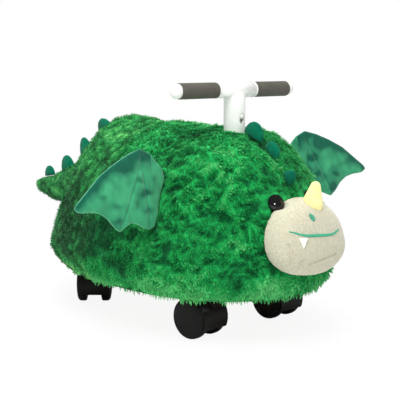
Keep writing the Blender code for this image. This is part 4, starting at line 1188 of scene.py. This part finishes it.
# The mouth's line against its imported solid: its ends' curl, its tilt and how far its ends hang
MOUTH_RISE = 0.0012
MOUTH_TILT = 0.0045
MOUTH_DROP = 0.0012
MOUTH_STEPS = 26
MOUTH_THREAD = 0.0005
MOUTH_HALF_WIDTH = 0.0026
# The nose, an oval that leans
NOSE_HALF_LENGTH = 0.0082
NOSE_HALF_WIDTH = 0.0058
NOSE_TILT = 0.20
NOSE_STEPS = 16
NOSE_THREAD = 0.00042
EYE_STEPS = 18


def groove(spot, ends, width):
    """1 on a line between two ends and 0 a width away from it."""
    first, second = (Vector(end) for end in ends)
    along = second - first
    share = held((spot - first).dot(along) / along.length_squared)
    away = (spot - first - along * share).length / width
    return max(0.0, 1 - away * away) ** 2


def eye_axis(node):
    """The middle of an eye, the way that it looks, and its points."""
    places = points_of(node)
    middle = places.mean(0)
    values, ways = np.linalg.eigh(np.cov((places - middle).T))
    axis = Vector(ways[:, 2] if values[2] - values[1] > values[1] - values[0] else ways[:, 0])
    return Vector(middle), axis if axis.x > 0 else -axis, places


class PLUSH_OT_face(bpy.types.Operator):
    """Makes the muzzle, the horn, the tooth, the eyes and the stitched mouth and nose"""

    bl_idname = "plush.face"
    bl_label = "Face"

    def execute(self, context):
        self.muzzle()
        soft_copy("horn", "horn_felt", "horn_yellow", 0.0011, 6, 0.0004)
        soft_copy("tooth", "tooth_felt", "felt_white", 0.00045, 4, 0.0002)
        for side in SIDES:
            self.eye(f"eye_{side}")
        surface = tree_of("muzzle")
        self.mouth(surface)
        self.nose(surface)
        return {"FINISHED"}

    def muzzle(self):
        """The stuffed muzzle, a little uneven, and creased on its face."""
        item = softened("muzzle", "muzzle_cover", "velour_beige", 0.0015, 14, 0.0006)
        across = points_of("muzzle")[:, 0]
        middle = (across.min() + across.max()) / 2

        def creased(place, normal):
            if place.x < middle:
                return Vector((0, 0, 0))
            spot = Vector((place.y, place.z))
            deep = sum(groove(spot, (first, last), width) * depth for first, last, depth, width in CREASES)
            soft = noise.noise(place * 30.0) * 0.0008 + noise.noise(place * 210.0) * 0.0003
            return normal * (soft - deep)

        push(item, creased)
        settle(item, "muzzle")

    def eye(self, node):
        """A domed safety eye with a turned rim, set on its washer's axis."""
        _, axis, places = eye_axis(node)
        heights = places @ np.array(axis)
        out = places - np.outer(heights, np.array(axis))
        foot = out.mean(0)
        away = np.linalg.norm(out - foot, axis=1)
        radius = float(away.max())
        wide = heights[away > radius * 0.97]
        low, top = float(heights.min()), float(heights.max())
        back, rim = float(wide.min()), float(wide.max())
        profile = [(0, low), (radius * 0.2, low), (radius * 0.2, back), (radius * 0.96, back)]
        profile.append((radius, back + radius * 0.04))
        for step in range(EYE_STEPS):
            angle = math.pi / 2 * step / EYE_STEPS
            profile.append((radius * math.cos(angle), rim + (top - rim) * math.sin(angle)))
        profile.append((0, top))
        settle(turned(f"{node}_dome", profile, Vector(foot), axis, "eye_black", 50), node)

    def mouth(self, surface):
        """The mouth's line, from the middle of its solid, evened out."""
        places = points_of("mouth_stitch")
        across = places[:, 1]
        low, high = across.min(), across.max()
        window = (high - low) / 9
        line = []
        for step in range(MOUTH_STEPS + 1):
            y = low + (high - low) * step / MOUTH_STEPS
            weights = np.maximum(0, 1 - np.abs(across - y) / window)
            spot = Vector((places * weights[:, None]).sum(0) / weights.sum())
            spot.y = y
            turn = 2 * step / MOUTH_STEPS - 1
            spot.z += MOUTH_RISE * abs(turn) ** 5 - MOUTH_TILT * turn - MOUTH_DROP * abs(turn)
            line.append(spot)

        def tapered(share):
            return MOUTH_HALF_WIDTH * (0.5 + 0.5 * math.sin(math.pi * share))

        self.satin("mouth", line, surface, MOUTH_THREAD, tapered)

    def nose(self, surface):
        """The nose's oval."""
        middle = Vector(points_of("nose_stitch").mean(0))
        way = Vector((0, -NOSE_TILT, 1)).normalized() * NOSE_HALF_LENGTH
        line = [middle + way * (2 * step / NOSE_STEPS - 1) for step in range(NOSE_STEPS + 1)]

        def oval(share):
            return NOSE_HALF_WIDTH * math.sqrt(max(0.06, 1 - (2 * share - 1) ** 2))

        self.satin("nose", line, surface, NOSE_THREAD, oval)

    def satin(self, place, line, surface, radius, reach):
        """Threads across a line, one thread apart, each resting on the cloth."""
        lengths = [0.0]
        for first, second in zip(line, line[1:]):
            lengths.append(lengths[-1] + (second - first).length)
        count = max(2, int(lengths[-1] / (radius * 1.8)))
        places, ways, reaches, normals = [], [], [], []
        for step in range(count + 1):
            at = lengths[-1] * step / count
            index = min(len(line) - 2, max(i for i, length in enumerate(lengths) if length <= at + 1e-9))
            part = (at - lengths[index]) / max(lengths[index + 1] - lengths[index], 1e-9)
            spot = line[index].lerp(line[index + 1], min(part, 1.0))
            hit, normal, _, _ = surface.find_nearest(spot)
            ahead = (line[index + 1] - line[index]).normalized()
            places.append(tuple(hit + normal * radius * 1.6))
            normals.append(tuple(normal))
            ways.append(tuple(normal.cross(ahead).normalized() + ahead * 0.12))
            reaches.append(reach(step / count))
        mesh = bpy.data.meshes.new(f"{place}_thread")
        mesh.from_pydata(places, [], [])
        store(mesh, "way", "FLOAT_VECTOR", ways)
        store(mesh, "face_way", "FLOAT_VECTOR", normals)
        store(mesh, "reach", "FLOAT", reaches)
        item = shown(f"{place}_thread", mesh)
        run_tree(item, "satin", {"Radius": radius, "Material": finish("thread_teal")})
        settle(item, f"{place}_stitch")


class PLUSH_OT_fins(bpy.types.Operator):
    """Makes the stuffed felt fins along the back"""

    bl_idname = "plush.fins"
    bl_label = "Fins"

    def execute(self, context):
        for node in sorted(named_from("spike_")):
            soft_copy(node, f"{node}_felt", "felt_teal", 0.0011, 5, 0.0004)
        return {"FINISHED"}


# Seams across a wing as shares of its span and rise, from top to foot
WING_SEAMS = (
    ((0.208, 0.88), (0.532, 0.04)),
    ((0.225, 0.82), (0.17, 0.05)),
)
SEAM_DEPTH = 0.0014
SEAM_WIDTH = 0.0048
# Dark smudges in a wing's nap: shares of its span and rise, length and width in metres, strength
SMUDGES = (
    (0.40, 0.80, 0.016, 0.010, 0.55),
    (0.27, 0.63, 0.012, 0.006, 0.70),
    (0.20, 0.46, 0.020, 0.006, 0.75),
    (0.33, 0.36, 0.010, 0.008, 0.70),
    (0.18, 0.24, 0.014, 0.005, 0.50),
    (0.56, 0.36, 0.010, 0.007, 0.60),
    (0.55, 0.14, 0.009, 0.010, 0.70),
    (0.70, 0.50, 0.012, 0.006, 0.35),
    (0.08, 0.62, 0.008, 0.014, 0.45),
)
# Painted shade all over each wing's nap: the left one, seen against its nap, gets more
PAINTED_WING_SHADE = {"wing_left": 0.34, "wing_right": 0.12}
# The wing's top edge is found at this many places along its span
TOP_STEPS = 40
RIM_STEPS = 220
# Farther than any wing's edge from its middle
RIM_REACH = 0.3
PIPING_RADIUS = 0.00065


class PLUSH_OT_wings(bpy.types.Operator):
    """Makes the two stuffed wings with their seams and piping"""

    bl_idname = "plush.wings"
    bl_label = "Wings"

    def execute(self, context):
        for side, facing in SIDES.items():
            self.wing(f"wing_{side}", facing)
        return {"FINISHED"}

    def wing(self, node, facing):
        places = points_of(node)
        thin, out, up = self.axes(places, facing)
        hinge = Vector(JOINTS[f"{node}_flap"]["pos_m"])
        away = places - np.array(hinge)
        span, rise = (float((away @ np.array(axis)).max()) for axis in (out, up))
        middle = float((away @ np.array(thin)).mean())
        seams = [[Vector((u * span, v * rise)) for u, v in ends] for ends in WING_SEAMS]
        item = softened(node, f"{node}_plush", "nap_teal", 0.0015, 8, 0.0006)
        rim = self.outline(item, hinge, out, up, thin, middle)

        def flat(place):
            """A place seen through the wing's thickness, as shares of its size and in metres."""
            away = place - hinge
            share = Vector((away.dot(out) / span, away.dot(up) / rise))
            return share, Vector((share.x * span, share.y * rise))

        def sewn(place, normal):
            deep = max(groove(flat(place)[1], ends, SEAM_WIDTH) for ends in seams)
            off = (place - hinge).dot(thin) - middle
            pull = min(deep * SEAM_DEPTH, abs(off) * 0.7)
            soft = noise.noise(place * 55.0) * 0.0010
            return normal * soft - thin * math.copysign(pull, off)

        push(item, sewn)
        top = {}
        for point in rim:
            away = point - hinge
            key = round(away.dot(out) / span * TOP_STEPS)
            top[key] = max(top.get(key, -1), away.dot(up))

        # How dark the nap is: its smudges, edge band and clouds, with painted shade in the seams and over the
        # far wing
        def darkness(place):
            share, spot = flat(place)
            edge = top.get(round(share.x * TOP_STEPS), rise) - share.y * rise
            wide = 0.038 - 0.020 * held(share.x)
            band = held(1 - max(edge - 0.004, 0) / wide) ** 1.3 if share.x > 0.10 else 0.0
            # Painted shade in the grooves of the seams
            seam = max(groove(spot, ends, SEAM_WIDTH) for ends in seams)
            warp = noise.noise_vector(place * 60) * 0.007
            stain = 0.0
            for u, v, length, width, strength in SMUDGES:
                away = Vector((spot.x - u * span + warp.x, spot.y - v * rise + warp.z))
                stain += strength * math.exp(-((away.x / length) ** 2) - (away.y / width) ** 2)
            cloud = 0.40 * noise.noise(place * 34) + 0.25 * noise.noise(place * 80)
            # Painted shade all over the wing, most on the far one
            return held(band * 0.95 + seam * 0.2 + stain * 1.1 + cloud + PAINTED_WING_SHADE[node])

        store(item.data, "nap_and_painted_shade", "FLOAT", [darkness(vertex.co) for vertex in item.data.vertices])
        settle(item, node)
        piping = closed_tube(f"{node}_piping", rim, PIPING_RADIUS, "piping_teal")
        settle(piping, node, stands=False)

    def axes(self, places, facing):
        """The ways through a wing's thickness, out along its span, and up."""
        _, ways = np.linalg.eigh(np.cov((places - places.mean(0)).T))
        thin = Vector(ways[:, 0])
        thin = thin if thin.x > 0 else -thin
        out = Vector((0, facing, 0))
        out = (out - thin * out.dot(thin)).normalized()
        out = (out - Vector((0, 0, 1)) * out.z).normalized()
        up = out.cross(thin) * facing
        return thin, out, up if up.z > 0 else -up

    def outline(self, item, hinge, out, up, thin, middle):
        """The wing's edge in its middle plane, all round."""
        work = bmesh.new()
        work.from_mesh(item.data)
        tree = BVHTree.FromBMesh(work)
        work.free()
        centre = Vector(np.array([vertex.co for vertex in item.data.vertices]).mean(0))
        centre += thin * (middle - (centre - hinge).dot(thin))
        ways = [out * math.cos(angle) + up * math.sin(angle) for angle in angles(RIM_STEPS)]
        hits = [tree.ray_cast(centre + way * RIM_REACH, -way)[0] for way in ways]
        return [hit for hit in hits if hit]


class PLUSH_OT_handle(bpy.types.Operator):
    """Makes the moulded T handle, its grips and its lock button"""

    bl_idname = "plush.handle"
    bl_label = "Handle"

    def execute(self, context):
        hard_copy("t_handle", "plastic_white", crease=38)
        hard_copy("lock_button", "plastic_white")
        for side in SIDES:
            hard_copy(f"grip_collar_{side}", "plastic_white", edge=0.0003)
            hard_copy(f"grip_{side}", "rubber_grey", edge=0.0004)
            hard_copy(f"end_cap_{side}", "plastic_white", crease=38)
        return {"FINISHED"}


# A wheel from its hub over its rim and tread to its back, as shares of its radius and of half its width
WHEEL_PROFILE = (
    (0.0, 1.0),
    (0.30, 0.985),
    (0.55, 0.93),
    (0.72, 0.85),
    (0.84, 0.74),
    (0.87, 0.70),
    (0.885, 0.71),
    (0.93, 0.62),
    (0.965, 0.48),
    (0.99, 0.28),
    (1.0, 0.05),
    (1.0, -0.70),
    (0.99, -0.86),
    (0.965, -0.96),
    (0.92, -1.0),
    (0.30, -1.0),
)
AXLE_BORE = 0.0034
AXLE_BORE_DEPTH = 0.012


class PLUSH_OT_casters(bpy.types.Operator):
    """Makes the four hooded casters with their wheels"""

    bl_idname = "plush.casters"
    bl_label = "Casters"

    def execute(self, context):
        for caster in CASTERS:
            hard_copy(f"caster_housing_{caster}", "plastic_black", crease=38)
            hard_copy(f"caster_socket_{caster}", "plastic_black")
            hard_copy(f"caster_stem_{caster}", "steel")
            hard_copy(f"caster_axle_{caster}", "steel")
            for side in SIDES:
                self.wheel(f"{side}_wheel_{caster}")
        return {"FINISHED"}

    def wheel(self, node):
        """A domed twin-caster wheel, turned about its axle."""
        joint = JOINTS[f"{node}_roll"]
        hub = Vector(joint["pos_m"])
        axis = Vector(joint["axis"]).normalized()
        away = points_of(node) - np.array(hub)
        heights = away @ np.array(axis)
        radius = float(np.linalg.norm(away - np.outer(heights, np.array(axis)), axis=1).max())
        if abs(heights.min()) > abs(heights.max()):
            axis, heights = -axis, -heights
        low, high = float(heights.min()), float(heights.max())
        middle, half = (low + high) / 2, (high - low) / 2
        profile = [(out * radius, middle + across * half) for out, across in WHEEL_PROFILE]
        end = low + AXLE_BORE_DEPTH
        profile += [(AXLE_BORE, low), (AXLE_BORE, end), (0, end)]
        settle(turned(f"{node}_moulding", profile, hub, axis, "plastic_black", 40), node)


class PLUSH_PT_panel(bpy.types.Panel):
    """Lists the sizes, the colours and the pieces"""

    bl_idname = "PLUSH_PT_panel"
    bl_label = "Plush Ride-On"
    bl_space_type = "VIEW_3D"
    bl_region_type = "UI"
    bl_category = "Ride-On"

    def draw(self, context):
        for group in GROUPS:
            box = self.layout.box()
            settings = getattr(context.scene, group)
            for key in settings.bl_rna.properties.keys():
                if key not in ("rna_type", "name"):
                    box.prop(settings, key)
        for operator in OPERATORS:
            self.layout.operator(operator.bl_idname)


OPERATORS = (
    PLUSH_OT_stage,
    PLUSH_OT_covers,
    PLUSH_OT_tail,
    PLUSH_OT_inside,
    PLUSH_OT_face,
    PLUSH_OT_fins,
    PLUSH_OT_wings,
    PLUSH_OT_handle,
    PLUSH_OT_casters,
)
GROUPS = {"plush_looks": Looks, "plush_pile": Pile, "plush_stage": Stage}
CLASSES = (*GROUPS.values(), *OPERATORS, PLUSH_PT_panel)
# Without a seed, Blender draws the offsets of its noise vectors anew in each session
NOISE_SEED = 5


def register():
    noise.seed_set(NOISE_SEED)
    for item in CLASSES:
        bpy.utils.register_class(item)
    for name, group in GROUPS.items():
        setattr(bpy.types.Scene, name, PointerProperty(type=group))


def unregister():
    for name in GROUPS:
        delattr(bpy.types.Scene, name)
    for item in reversed(CLASSES):
        bpy.utils.unregister_class(item)


def main():
    register()
    for operator in OPERATORS:
        group, name = operator.bl_idname.split(".")
        getattr(getattr(bpy.ops, group), name)()


if __name__ == "__main__":
    main()
